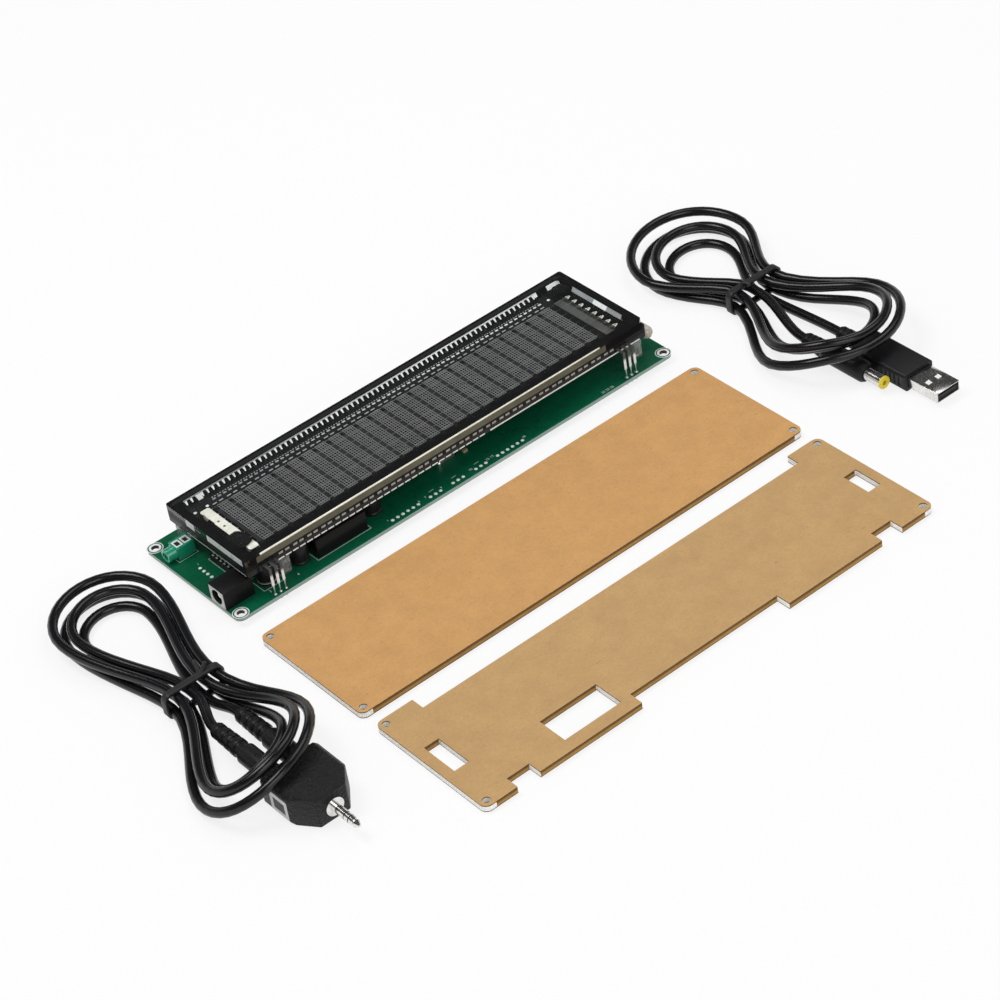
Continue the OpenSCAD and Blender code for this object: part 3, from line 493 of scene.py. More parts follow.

# %% [markdown]
# ## Leads and solder
# Leads are dipped in tin. The front leads stand under the tube's rim, so their tops and sides get painted shade, and
# near the board a painted reflection of its green. Only the upright faces between are bright.

# %% Leads and solder
GREEN_REFLECTION_FADE = (5.5, 8.5)
UNDER_RIM = (11.8, 13.2)
BOARD_MIDDLE = 2.5
tin = finish("tinned_metal", (0.74, 0.74, 0.72), 0.3, metallic=1.0, scale=1500, depth=0.35, bump=0.15)
solder = finish("solder", (0.72, 0.72, 0.71), 0.34, metallic=1.0, scale=2500, depth=0.4, bump=0.3)
tin_with_painted_shade = finish("front_lead_tin_and_painted_shade", (0.86, 0.87, 0.88), 0.4, metallic=0.2, scale=1500, depth=0.35, bump=0.15)
tree = tin_with_painted_shade.node_tree
flank = calc(tree, "ABSOLUTE", facing(tree)["X"])
# Painted shade on the sides of the front leads.
tint_where(tin_with_painted_shade, (0.05, 0.06, 0.055), ramp(tree, flank, 0.3, 0.8, last=0.9))
height = position(tree)["Z"]
above = calc(tree, "GREATER_THAN", height, BOARD_MIDDLE)
# Painted reflection of the board's green near the foot of the leads.
tint_where(tin_with_painted_shade, (0.07, 0.15, 0.11), calc(tree, "MULTIPLY", ramp(tree, height, *GREEN_REFLECTION_FADE, 0.8, 0.0), above))
# Painted shade on the tops, under the tube's rim.
tint_where(tin_with_painted_shade, (0.03, 0.03, 0.03), ramp(tree, height, *UNDER_RIM, last=0.95))
finish_nodes(tin_with_painted_shade, "front_leads")
finish_nodes(tin, "boost_module_pins", "chip_leads", "input_header_pins")
finish_nodes(solder, "solder_joints")
print("lead finishes:", tin.name, solder.name, tin_with_painted_shade.name)

# %% [markdown]
# ## Tube glass
# Plate glass is clear, so what shows is what lies behind it. Shadow rays pass through without bending, or the
# inside of the tube would stay black. The side wall is glass powder that was melted into a seal, so it has bands.

# %% Glass and seal
plate_glass = finish("plate_glass", (0.93, 0.95, 0.94), 0.02, scale=60, depth=0.04, bump=0.0, clear=1.0)
tree = plate_glass.node_tree
through = put(tree, "ShaderNodeBsdfTransparent", {"Color": (0.95, 0.95, 0.95, 1)})
mix_out(plate_glass, put(tree, "ShaderNodeLightPath").outputs["Is Shadow Ray"], through)
seal = finish("glass_seal", (0.009, 0.009, 0.008), 0.3, scale=700, depth=0.5, bump=0.1, gloss=0.1)
tree = seal.node_tree
tint_where(seal, (0.04, 0.04, 0.035), ramp(tree, noise(tree, (60, 60, 2600), 3.0), 0.5, 0.7, last=0.55))
base_plate = finish("base_plate", (0.012, 0.013, 0.013), 0.15, scale=120, depth=0.5, bump=0.0, gloss=0.2)
tip_glass = finish("tip_glass", (0.62, 0.58, 0.5), 0.12, scale=300, depth=0.4, bump=0.05, coat=0.8, clear=0.25)
finish_nodes(plate_glass, "tube_cover_glass")
finish_nodes(base_plate, "tube_base_glass")
finish_nodes(seal, "tube_side_wall")
finish_nodes(tip_glass, "exhaust_tip")
print("tube finishes:", plate_glass.name, base_plate.name, seal.name, tip_glass.name)

# %% [markdown]
# ## Metal and plates inside the tube
# Grids and anchors are etched sheet metal, dull grey from the firing. The tops of the anchor tips get a painted
# highlight, and an anchor is darker beyond its shelf, so its finish changes with the place. The filaments are dark in
# the gaps beside the grids.
# The getter is nickel sheet with a cream bloom.

# %% Tube parts
TX, TY = 1.8, 74.3
FIELD_X, FIELD_Y = TX - 1.15, TY - 1.55
GAP_X, GAP_REACH = 85.1, 1.4
HIGHLIGHT_Z, SHELF_END, TIPS_START = 16.9, 91.5, 93.2
wire = finish("filament_oxide", (0.15, 0.145, 0.135), 0.6, scale=2000, depth=0.4, bump=0.1)
tree = wire.node_tree
along = calc(tree, "ABSOLUTE", calc(tree, "SUBTRACT", position(tree)["X"], FIELD_X))
tint_where(wire, (0.02, 0.02, 0.02), calc(tree, "COMPARE", along, GAP_X, GAP_REACH))
anchor = finish("anchor_metal", (0.09, 0.09, 0.088), 0.4, scale=700, depth=0.6, bump=0.2)
tree = anchor.node_tree
spot = position(tree)
tint_where(anchor, (0.03, 0.03, 0.03), calc(tree, "GREATER_THAN", spot["X"], SHELF_END))
# Painted highlight on the tops of the anchor tips.
tips = calc(tree, "MAXIMUM", calc(tree, "GREATER_THAN", spot["X"], TIPS_START),
            calc(tree, "LESS_THAN", spot["X"], 0.0))
lit_tops = calc(tree, "GREATER_THAN", spot["Z"], HIGHLIGHT_Z)
tint_where(anchor, (0.88, 0.86, 0.76), calc(tree, "MULTIPLY", tips, lit_tops))
finish_nodes(wire, "filament_wires")
finish_nodes(anchor, "filament_anchor_left", "filament_anchor_right")
finish_nodes(finish("anode_print", (0.012, 0.012, 0.013), 0.6, scale=800, depth=0.4), "anode_layer")
finish_nodes(finish("grid_metal", (0.02, 0.02, 0.021), 0.55, scale=900, depth=0.35), "control_grids")
finish_nodes(finish("getter_bloom", (0.88, 0.86, 0.76), 0.55, scale=500, depth=0.35, bump=0.2), "getter_plate")
finish_nodes(finish("getter_flash", (0.85, 0.85, 0.83), 0.4, scale=800, depth=0.2, bump=0.3), "getter_ring")
finish_nodes(finish("clear_silicone", (0.8, 0.82, 0.8), 0.2, scale=300, depth=0.3, bump=0.2, coat=0.4, clear=0.85),
             "tube_support_pads")
print("inside the tube:", wire.name, anchor.name)

# %% [markdown]
# ## Board parts and plugs
# Moulded parts are black, but never one black: resin chips are matte, grips are satin with a fine texture and
# sleeves are glossy. The capacitor at the open end shows the pale rims of its can; the others, under the tube, keep
# painted shade on theirs. Contacts are nickel or gold.

# %% Part finishes
OPEN_END = -83.0
resin = finish("chip_resin", (0.011, 0.011, 0.012), 0.55, scale=1800, depth=0.5, bump=0.2)
grip = finish("grip_plastic", (0.006, 0.006, 0.0075), 0.42, scale=1600, depth=0.45, bump=0.22, gloss=0.28)
sleeve = finish("capacitor_sleeve", (0.012, 0.012, 0.014), 0.3, scale=700, depth=0.4, bump=0.05, gloss=0.25)
tree = sleeve.node_tree
open_end = calc(tree, "LESS_THAN", position(tree)["X"], OPEN_END)
# Painted shade: only the capacitor at the open end gets pale rims, and the others keep dark flat faces.
tint_where(sleeve, (0.4, 0.4, 0.4), calc(tree, "MULTIPLY", open_end, flat_faces(tree)))
finish_nodes(resin, "driver_chips", "controller_chip", "chip_resistors", "input_header")
finish_nodes(grip, "usb_plug_grip", "dc_plug_grip", "audio_plug_grip_a", "audio_plug_grip_b")
finish_nodes(sleeve, "electrolytic_caps")
finish_nodes(finish("potted_case", (0.006, 0.006, 0.007), 0.4, scale=900, depth=0.4, gloss=0.2), "boost_module")
finish_nodes(finish("jack_plastic", (0.006, 0.006, 0.007), 0.42, scale=1200, depth=0.4, bump=0.15, gloss=0.2),
             "dc_jack_body")
finish_nodes(finish("green_plastic", (0.015, 0.4, 0.225), 0.2, scale=500, bump=0.05, coat=0.5, clear=0.2),
             "audio_jack_body")
finish_nodes(finish("grained_plastic", (0.006, 0.006, 0.0072), 0.42, scale=900, depth=0.6, bump=1.0, relief=0.8,
                    gloss=0.28), "splitter_body")
finish_nodes(finish("nickel", (0.76, 0.75, 0.73), 0.16, metallic=1.0, scale=700, depth=0.5, bump=0.05),
             "dc_jack_pin", "dc_jack_contact", "crystal", "usb_plug_shell", "dc_plug_barrel", "audio_plug_pins",
             "splitter_plug_collar", "splitter_plug_sleeve", "splitter_plug_ring", "splitter_plug_tip")
finish_nodes(finish("contact_gold", (0.83, 0.6, 0.25), 0.22, metallic=1.0, scale=900, depth=0.3, bump=0.05),
             "usb_plug_contacts")
finish_nodes(finish("tongue_plastic", (0.02, 0.02, 0.021), 0.5, scale=1200, depth=0.4), "usb_plug_tongue",
             "splitter_plug_insulators")
finish_nodes(finish("insulator_yellow", (0.75, 0.6, 0.03), 0.35, scale=900), "dc_plug_insulator")
finish_nodes(finish("ceramic_tan", (0.4, 0.3, 0.19), 0.5, scale=1500, depth=0.3), "chip_capacitors")
finish_nodes(finish("tie_strap", (0.01, 0.01, 0.011), 0.5, scale=1400, depth=0.5, bump=0.3), "usb_lead_tie",
             "audio_lead_tie")
print("materials so far:", len(bpy.data.materials))

# %% [markdown]
# ## Protective paper
# The panels still wear their brown masking paper. Short fibres cross it both ways, a few scuffs mark it, and the
# glue below shows as faint clouds.


# %% Paper
def paper(name, colour, cloud):
    """Brown paper with crossed fibres, faint clouds of glue and scuffs."""
    material = finish(name, colour, 0.75, scale=1100, depth=0.24, bump=0.12, gloss=0.15)
    tree = material.node_tree
    for factors, share in [((480, 1400, 480), 0.2), ((1300, 520, 520), 0.16)]:
        fibres = ramp(tree, noise(tree, factors, 4.0, 0.6), 0.54, 0.72, last=share)
        tint_where(material, [c * 0.62 for c in colour], fibres)
    clouds = ramp(tree, noise(tree, (60, 90, 60), 5.0), 0.42, 0.7, last=cloud)
    tint_where(material, [c * k for c, k in zip(colour, (0.84, 0.78, 0.7))], clouds)
    scuffs = ramp(tree, noise(tree, (260, 800, 260), 2.0), 0.7, 0.76, last=0.4)
    tint_where(material, [c * 0.5 for c in colour], scuffs)
    return material


kraft = paper("kraft_paper", (0.62, 0.345, 0.135), 0.18)
pale_kraft = paper("pale_paper", (0.55, 0.345, 0.155), 0.16)
finish_nodes(kraft, "plain_panel_wrap")
finish_nodes(pale_kraft, "cut_panel_wrap")
print("papers:", kraft.name, pale_kraft.name)

# %% [markdown]
# ## Sheet edges
# The sheet's edge is clear, and what it shows is painted on: along the front the brown paper seen through it, with
# painted shade near the top, and at the ends and corners a painted reflection of the white room, between two thin
# rims of painted shade. The direction of a face tells the two apart, so one finish serves all edges.

# %% Sheet edges
CORNER_X = 104.5
acrylic = finish("acrylic_edge", (0.42, 0.235, 0.06), 0.3, scale=150, depth=0.5, bump=0.0, gloss=0.1)
tree = acrylic.node_tree
spot = position(tree)
share = ramp(tree, spot["Z"], *[corner[2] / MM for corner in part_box("plain_panel_sheet")])
# Painted shade near the top of the edge.
tint_where(acrylic, (0.07, 0.036, 0.01), ramp(tree, share, 0.45, 0.7, last=0.8))
between = calc(tree, "COMPARE", share, 0.5, 0.36)
# Painted shade on the thin rims at top and bottom.
tint_where(acrylic, (0.13, 0.06, 0.025), calc(tree, "SUBTRACT", 1.0, between))
turned = calc(tree, "ABSOLUTE", facing(tree)["X"])
corner = calc(tree, "GREATER_THAN", calc(tree, "ABSOLUTE", spot["X"]), CORNER_X)
# Painted reflection of the white room at the ends and corners.
white = ramp(tree, calc(tree, "MAXIMUM", turned, corner), 0.2, 0.7, last=0.95)
tint_where(acrylic, (0.95, 0.95, 0.91), calc(tree, "MULTIPLY", white, between))
finish_nodes(acrylic, "plain_panel_sheet", "cut_panel_sheet")
print("edge finish:", acrylic.name)

# %% [markdown]
# ## Softened mouldings
# No moulded edge is sharp. A copy of the CAD mesh has its loose triangles merged and flat faces joined, and then a
# bevel modifier rounds every edge between steep faces. The copy stands for the node, at the same size.

# %% Softened copies
MERGE = 0.000002
FLAT_ANGLE, BEVEL_ANGLE, SMOOTH_ANGLE = (math.radians(degrees) for degrees in (1, 30, 35))


def soften(node, width, steps=2):
    """A copy of a CAD node with rounded edges, which stands for the node."""
    obj = bpy.data.objects.new(node + "_soft", nodes[node].data.copy())
    bpy.context.scene.collection.objects.link(obj)
    edit_all(obj)
    bpy.ops.mesh.remove_doubles(threshold=MERGE)
    bpy.ops.mesh.dissolve_limited(angle_limit=FLAT_ANGLE)
    leave_edit()
    edge = obj.modifiers.new("edge", "BEVEL")
    edge.limit_method = "ANGLE"
    edge.angle_limit = BEVEL_ANGLE
    edge.width = width * MM
    edge.segments = steps
    bpy.ops.object.modifier_apply(modifier=edge.name)
    bpy.ops.object.shade_smooth_by_angle(angle=SMOOTH_ANGLE)
    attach(obj, "root")
    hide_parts(node)
    return obj


for slot, widths in {
        "grip_black": {"usb_plug_grip": 0.6, "dc_plug_grip": 0.3, "audio_plug_grip_a": 0.3, "audio_plug_grip_b": 0.3,
                       "splitter_body": 0.5},
        "jack_black": {"dc_jack_body": 0.3}, "green_plastic": {"audio_jack_body": 0.2},
        "potting_black": {"boost_module": 0.4}, "chip_black": {"driver_chips": 0.15, "controller_chip": 0.12},
        "clear_silicone": {"tube_support_pads": 0.9}, "plug_metal": {"usb_plug_shell": 0.12},
        "cap_sleeve": {"electrolytic_caps": 0.3}, "tip_glass": {"exhaust_tip": 0.1},
        "tie_black": {"usb_lead_tie": 0.25, "audio_lead_tie": 0.25}}.items():
    for node, width in widths.items():
        soften(node, width)

# %% [markdown]
# ## Acrylic panels
# Each sheet is cut from a plate, and its rim is scraped to a fine chamfer. The copy of a sheet keeps the edge finish
# on its rim and holes, and has paper on its flat faces, where the wrap is glued on.

# %% Acrylic sheets
CHAMFER = 0.08
FLAT_FACE = 0.9
for node, sheet_paper in [("plain_panel_sheet", kraft), ("cut_panel_sheet", pale_kraft)]:
    panel = soften(node, CHAMFER, steps=1)
    panel.data.materials.clear()
    panel.data.materials.append(acrylic)
    panel.data.materials.append(sheet_paper)
    for face in panel.data.polygons:
        face.material_index = 1 if abs(face.normal.z) > FLAT_FACE else 0
    print("sheet:", panel.name, len(panel.data.polygons), "faces")

# %% [markdown]
# ## Printed frame of the tube
# A black print on the cover's inner face hides the seal and leaves a window with rounded corners. It lies just
# inside the glass here, so that the gloss of the cover stays in front of it. Light from behind greys its rear rim.


# %% Flat plates
def plate(name, low, high, bottom, top, round_off=0.0, steps=4, window=None):
    """A flat plate with rounded corners, open in the middle if a window is given."""
    outlines = []
    for a, b, r in [(low, high, round_off)] + ([window] if window else []):
        middle = ((a[0] + b[0]) / 2 * MM, (a[1] + b[1]) / 2 * MM, bottom * MM)
        obj = start(bpy.ops.mesh.primitive_plane_add, name, size=1, location=middle)
        obj.scale = ((b[0] - a[0]) * MM, (b[1] - a[1]) * MM, 1)
        settle(obj)
        if r:
            edit_all(obj)
            bpy.ops.mesh.bevel(offset=r * MM, segments=steps, affect="VERTICES")
            leave_edit()
        outlines.append(obj)
    obj = join(outlines) if window else outlines[0]
    edit_all(obj)
    if window:
        bpy.ops.mesh.delete(type="ONLY_FACE")
        bpy.ops.mesh.select_all(action="SELECT")
        bpy.ops.mesh.bridge_edge_loops()
    raise_all(top - bottom)
    leave_edit()
    return obj


BASE_TOP, COVER = 15.5, 18.7
REAR_RIM = (98.3, 99.0)
print_black = finish("frame_print", (0.011, 0.011, 0.0115), 0.6, scale=500, depth=0.4, bump=0.0, gloss=0.0)
tree = print_black.node_tree
tint_where(print_black, (0.026, 0.025, 0.024), ramp(tree, position(tree)["Y"], *REAR_RIM))
cover_mask = plate("cover_mask", (-97.9, 48.1), (101.5, 100.5), COVER + 0.005, COVER + 0.035, 2.6, 1,
                   window=((-94.2, 52.6), (99.0, 98.3), 2.5))
place_piece(cover_mask, print_black, "cover_glass")
floor_print = plate("floor_print", (TX - 97.2, TY - 23.7), (TX + 97.2, TY + 23.7), BASE_TOP, BASE_TOP + 0.02, 1.8)
place_piece(floor_print, print_black, "anode")
print("frame print faces:", len(cover_mask.data.polygons))

# %% [markdown]
# ## Grid mesh
# Each of the 25 grids is a mesh too fine to draw in CAD. One band is made of two arrays of flat bars, and a third
# array repeats the band along the tube. The bars have no bevel, because there are hundreds of them.

# %% Grid mesh
GRIDS, GRID_PITCH, GRID_W, GRID_L = 25, 6.788, 4.75, 30.9
GRID_Z, MESH_BAR = 16.6, 0.21
BARS_ALONG, BARS_ACROSS = 5, 25
first = FIELD_X - (GRIDS - 1) / 2 * GRID_PITCH
left, front = first - GRID_W / 2, FIELD_Y - GRID_L / 2
along = bar("grid_mesh", (left, front, GRID_Z), (left + MESH_BAR, front + GRID_L, GRID_Z + 0.04))
row(along, BARS_ALONG, ((GRID_W - MESH_BAR) / (BARS_ALONG - 1), 0, 0))
across = bar("mesh_across", (left, front, GRID_Z), (left + GRID_W, front + MESH_BAR, GRID_Z + 0.05))
row(across, BARS_ACROSS, (0, (GRID_L - MESH_BAR) / (BARS_ACROSS - 1), 0))
grid_mesh = row(join([along, across]), GRIDS, (GRID_PITCH, 0, 0))
mesh_grey = finish("mesh_grey", (0.27, 0.27, 0.276), 0.5, depth=0.5, bump=0.0)
place_piece(grid_mesh, mesh_grey, "tube_metal")
print("mesh bars:", (BARS_ALONG + BARS_ACROSS) * GRIDS, "triangles:", 2 * len(grid_mesh.data.polygons))

# %% [markdown]
# ## Phosphor segments
# Under each grid lies a column of short bars of grey phosphor, the bars that light up with the music. One bar is
# a bevelled block, and two arrays fill the field. The printed ground round them reaches to the rear wall.

# %% Phosphor segments
SEGMENTS, COLUMN_L, SEGMENT_W, SEGMENT_GAP = 15, 26.6, 4.2, 0.5
step_y = COLUMN_L / SEGMENTS
low_x, low_y = first - SEGMENT_W / 2, FIELD_Y - COLUMN_L / 2 + SEGMENT_GAP / 2
phosphor = finish("phosphor", (0.017, 0.0175, 0.018), 0.8, scale=2500, depth=0.5, bump=0.2, gloss=0.05)
segment = bar("segments", (low_x, low_y, BASE_TOP + 0.22),
              (low_x + SEGMENT_W, low_y + step_y - SEGMENT_GAP, BASE_TOP + 0.27), 0.02)
row(segment, SEGMENTS, (0, step_y, 0))
place_piece(row(segment, GRIDS, (GRID_PITCH, 0, 0)), phosphor, "anode")
GROUND = (BASE_TOP + 0.022, BASE_TOP + 0.04)
last = first + (GRIDS - 1) * GRID_PITCH
field = plate("field_print", (first - 3.6, FIELD_Y - 15.6), (last + 6.6, FIELD_Y + 15.6), *GROUND)
rear_field = plate("rear_print", (-92, FIELD_Y + 15.7), (90, TY + 23.4), *GROUND)
place_piece(join([field, rear_field]), phosphor, "anode")
print("segments:", SEGMENTS * GRIDS)

# %% [markdown]
# ## Lead comb
# The leads shine through the rear wall as a bright comb. A tooth is a thin bar whose foot is narrowed and moved
# forward in edit mode, so that it faces the light. The wall also passes light from behind, and a faint glow of the
# comb stands for that. The ends of the leads inside the wall stay in its shade.


# %% Lead comb
def choose(obj, test):
    """Selects the vertices whose place in millimetres passes a test, and goes into edit mode."""
    pick(obj)
    bpy.ops.object.mode_set(mode="EDIT")
    bpy.ops.mesh.select_mode(type="VERT")
    bpy.ops.mesh.select_all(action="DESELECT")
    leave_edit()
    for vertex in obj.data.vertices:
        vertex.select = test(*[c / MM for c in vertex.co])
    bpy.ops.object.mode_set(mode="EDIT")


def shift(obj, test, step):
    """Moves the vertices that pass a test by a step."""
    choose(obj, test)
    bpy.ops.transform.translate(value=[s * MM for s in step])
    leave_edit()
    return obj


def below(height):
    """A test for what lies below a height above the tube's base."""
    return lambda x, y, z: z < BASE_TOP + height


LEADS, PIN = 70, 2.54
WALL_X, WALL_Y = TX + 97.4, TY + 23.9
comb_x = TX - (LEADS - 1) / 2 * PIN - 2 * PIN
comb_bright = finish("comb_bright", (0.9, 0.91, 0.9), 0.35, scale=900, depth=0.3)
shader = comb_bright.node_tree.nodes["Principled BSDF"]
shader.inputs["Emission Color"].default_value = (0.95, 1.0, 1.0, 1)
shader.inputs["Emission Strength"].default_value = 0.2
lead_tin = finish("lead_tin", (0.74, 0.74, 0.72), 0.3, metallic=1.0, scale=1500, depth=0.35, bump=0.15)
tree = lead_tin.node_tree
tint_where(lead_tin, (0.02, 0.02, 0.02), calc(tree, "LESS_THAN", position(tree)["Y"], WALL_Y))
finish_nodes(lead_tin, "rear_leads")
tooth = bar("lead_comb", (comb_x - 0.6, WALL_Y - 0.12, BASE_TOP + 1.4), (comb_x + 0.6, WALL_Y - 0.04, BASE_TOP + 2.75))
choose(tooth, below(2))
bpy.ops.transform.resize(value=(0.4, 1, 1), center_override=(comb_x * MM, WALL_Y * MM, BASE_TOP * MM))
leave_edit()
shift(tooth, below(2), (0, -1.5, 0))
place_piece(row(tooth, LEADS, (PIN, 0, 0)), comb_bright, "lead_metal")
print("comb teeth:", LEADS)

# %% [markdown]
# ## Printed rows
# In front of the comb lie rows of printed pads, dots and dashes, one small plate each, repeated along the tube. The
# print is dimmer at the left, where less light falls in.

# %% Printed rows
PRINT = (BASE_TOP + 0.045, BASE_TOP + 0.09)
SKIPPED = 4
DASH_STEP = 3.0
DIM = (-60, 30)
pad_x, pads = comb_x + SKIPPED * PIN, LEADS - SKIPPED
bright = finish("bright_lead", (0.88, 0.89, 0.88), 0.35, scale=900, depth=0.3)
line_grey = finish("line_print", (0.42, 0.43, 0.44), 0.5, scale=900, depth=0.4)
pad_grey = finish("pad_print", (0.8, 0.81, 0.82), 0.45, scale=900, depth=0.4)
tree = pad_grey.node_tree
tint_where(pad_grey, (0.16, 0.165, 0.18), ramp(tree, position(tree)["X"], *DIM, 0.75, 0.0))
pad = plate("lead_pads", (pad_x - 0.75, TY + 18.9), (pad_x + 0.75, TY + 19.75), *PRINT, 0.2, 2)
place_piece(row(pad, pads, (PIN, 0, 0)), pad_grey, "lead_metal")
dot = plate("print_dots", (pad_x - 0.3, TY + 20.35), (pad_x + 0.3, TY + 20.8), *PRINT)
place_piece(row(dot, 2 * pads - 1, (PIN / 2, 0, 0)), line_grey, "lead_metal")
end_dots = [plate("end_dots", (x - 0.6, y - 0.6), (x + 0.6, y + 0.6), *PRINT, 0.35, 3)
            for x, y in [(-91, 92), (-85.2, 92), (88.9, 93.4)]]
place_piece(join(end_dots), bright, "lead_metal")
dash = plate("printed_dashes", (first - 2.45, TY + 16.4), (first - 0.55, TY + 17.0), *PRINT, 0.1, 2)
row(dash, 2, (DASH_STEP, 0, 0))
place_piece(row(dash, GRIDS, (GRID_PITCH, 0, 0)), line_grey, "lead_metal")
print("printed pads:", pads, "dashes:", 2 * GRIDS)

# %% [markdown]
# ## Lines in the walls
# The melted walls bend light into bright lines and patches, and these are painted: each is a thin bar close to the
# wall, in a painted highlight, whose foot is moved inwards so that it leans to the light.

# %% Wall lines
# A painted highlight along the rear wall.
line = bar("rear_wall_highlight", (comb_x - 1, WALL_Y - 0.12, BASE_TOP + 2.77),
           (comb_x + 177, WALL_Y - 0.04, BASE_TOP + 3.1), 0.02)
place_piece(shift(line, below(2.9), (0, -0.4, 0)), pad_grey, "tube_glass")
# Painted highlights on the walls, with the comb's faint glow.
glints = [bar("wall_glints", (a, WALL_Y - 0.16, BASE_TOP + low), (b, WALL_Y - 0.13, BASE_TOP + high), 0.01)
          for a, b, low, high in [(-85.7, -83.5, 0.3, 2.4), (84.4, 86.4, 1.7, 3.05), (91.8, 98.4, 1.4, 3.05)]]
for glint in glints:
    shift(glint, below(2), (0, -1.2, 0))
end_glint = bar("end_glint", (WALL_X - 0.18, TY - 6.5, BASE_TOP + 1.5), (WALL_X - 0.15, TY + 1.7, BASE_TOP + 3.0), 0.01)
glints.append(shift(end_glint, below(2), (-1.2, 0, 0)))
place_piece(join(glints), comb_bright, "tube_glass")
# Lines of painted light on the end wall.
strips = [bar("end_wall_lines", (WALL_X - 0.14, TY - 15.5, BASE_TOP + low),
              (WALL_X - 0.06, TY + 15, BASE_TOP + high), 0.02)
          for low, high in [(0.1, 0.35), (0.75, 0.95), (1.4, 3.05)]]
shift(strips[-1], below(2), (-1.1, 0, 0))
place_piece(join(strips), line_grey, "tube_glass")
print("wall lines:", line.name, len(glints), "glints,", len(strips), "strips")

# %% [markdown]
# ## Front wall of the tube
# From outside, the front wall shows pale dashes where the seal flowed round the spacers. The cover's front edge is
# ground and pale, with a painted highlight in one thin line above a smoky band. The left end of the cover has painted
# reflections of the room.

# %% Front wall
FRONT = (TY - 26.53, TY - 26.46)
LINE_X = (TX - 93, TX + 76)
BAND_X = (TX - 95, TX + 79)
WALL_TOP = BASE_TOP + 2.15
edge_pale = finish("cover_edge_highlight", (0.97, 0.97, 0.84), 0.4, scale=900, depth=0.3, bump=0.3)
smoky = finish("smoky_edge", (0.115, 0.122, 0.095), 0.2, scale=300, depth=0.7, bump=0.05, coat=0.3)
dash_pale = finish("seal_dash", (0.36, 0.36, 0.33), 0.35, scale=1200, depth=0.6)
end_pale = finish("painted_end_reflection", (0.6, 0.63, 0.62), 0.3, scale=500, depth=0.4, bump=0.05)


def front_bar(name, x, bottom, top, edge=0.03):
    """A thin bar on the front wall."""
    return bar(name, (x[0], FRONT[0], bottom), (x[1], FRONT[1], top), edge)


# Painted highlight along the ground front edge of the cover.
ground = front_bar("cover_front_edge", LINE_X, COVER + 1.75, COVER + 2.17)
rim = bar("cover_rim", (LINE_X[0], TY - 26.47, COVER + 2.201), (LINE_X[1], TY - 25.85, COVER + 2.22))
shift(rim, lambda x, y, z: x > TX and y > TY - 26, (0, -0.35, 0))
place_piece(join([ground, rim]), edge_pale, "tube_glass")
ends = [front_bar("cover_front_ends", x, WALL_TOP, COVER + 2.17)
        for x in [(TX - 98, BAND_X[0]), (BAND_X[1], TX + 98)]]
place_piece(join(ends), print_black, "tube_glass")
band = front_bar("cover_front_band", BAND_X, WALL_TOP, COVER + 1.6)
place_piece(band, smoky, "tube_glass")
dash = front_bar("seal_dashes", (first - 2.6, first - 0.6), BASE_TOP + 0.25, BASE_TOP + 1.2, 0.02)
row(dash, 2, (DASH_STEP, 0, 0))
place_piece(row(dash, GRIDS, (GRID_PITCH, 0, 0)), dash_pale, "tube_glass")
base_edge = front_bar("base_front_edge", (20, 98), BASE_TOP - 2.1, BASE_TOP - 1.45, 0.02)
base_dash = row(front_bar("base_dash", (-84, -81.3), BASE_TOP - 2.1, BASE_TOP - 1.5, 0.02), 30, (3.4, 0, 0))
place_piece(join([base_edge, base_dash]), bright, "tube_glass")
# Bands of painted reflection of the room on the left end.
ends = [bar("left_end_bands", (TX - 100.03, TY + a, BASE_TOP + low), (TX - 99.96, TY + b, BASE_TOP + high), 0.03)
        for a, b, low, high in [(-24, -1, 2.2, 5.1), (7.5, 13, 2.0, 5.1), (-25, 14, -2.05, -1.75)]]
place_piece(join(ends), end_pale, "tube_glass")
print("front wall lines:", ground.name, band.name, base_edge.name)

# %% [markdown]
# ## Getter shadow
# A flashed getter leaves a black mirror on the glass above it at the left end of the tube, and a second black patch
# lies at the right end. Each is an uneven patch, so a plate is subdivided and its rim is moved in and out by a fixed
# sine.

# %% Getter shadow
WAVES, WAVE_DEPTH = 7, 0.03


def flash(name, x, y, rx, ry):
    """A black patch with an uneven rim under the cover."""
    patch = plate(name, (x - rx, y - ry), (x + rx, y + ry), COVER - 0.14, COVER - 0.1, 0.7 * min(rx, ry), 6)
    edit_all(patch)
    bpy.ops.mesh.subdivide(number_cuts=1)
    leave_edit()
    for vertex in patch.data.vertices:
        dx, dy = vertex.co.x - x * MM, vertex.co.y - y * MM
        wave = 1 + WAVE_DEPTH * math.sin(WAVES * math.atan2(dy, dx))
        vertex.co.x = x * MM + dx * wave
        vertex.co.y = y * MM + dy * wave
    return place_piece(patch, print_black, "getter_flash")


patches = [flash("getter_shadow", -91.6, 62.4, 4.8, 5.2), flash("end_shadow", 94.8, 92.2, 3.2, 3.2)]
print("getter shadows:", [len(p.data.vertices) for p in patches], "points")

# %% [markdown]
# ## White print on the board
# The board's white ink marks holes, parts and pad numbers. Rings start as circles, frames as plates with a window,
# and numbers as text that is made a mesh before it is set in place.

# %% White print
BOARD_TOP = 3.6
INK = (BOARD_TOP + 0.002, BOARD_TOP + 0.03)
INK_LINE = 0.2
ROUND_SIDES = 40
PAD_ROW = -28.2
ink = finish("white_ink", (0.78, 0.8, 0.78), 0.6, scale=2500, depth=0.3)


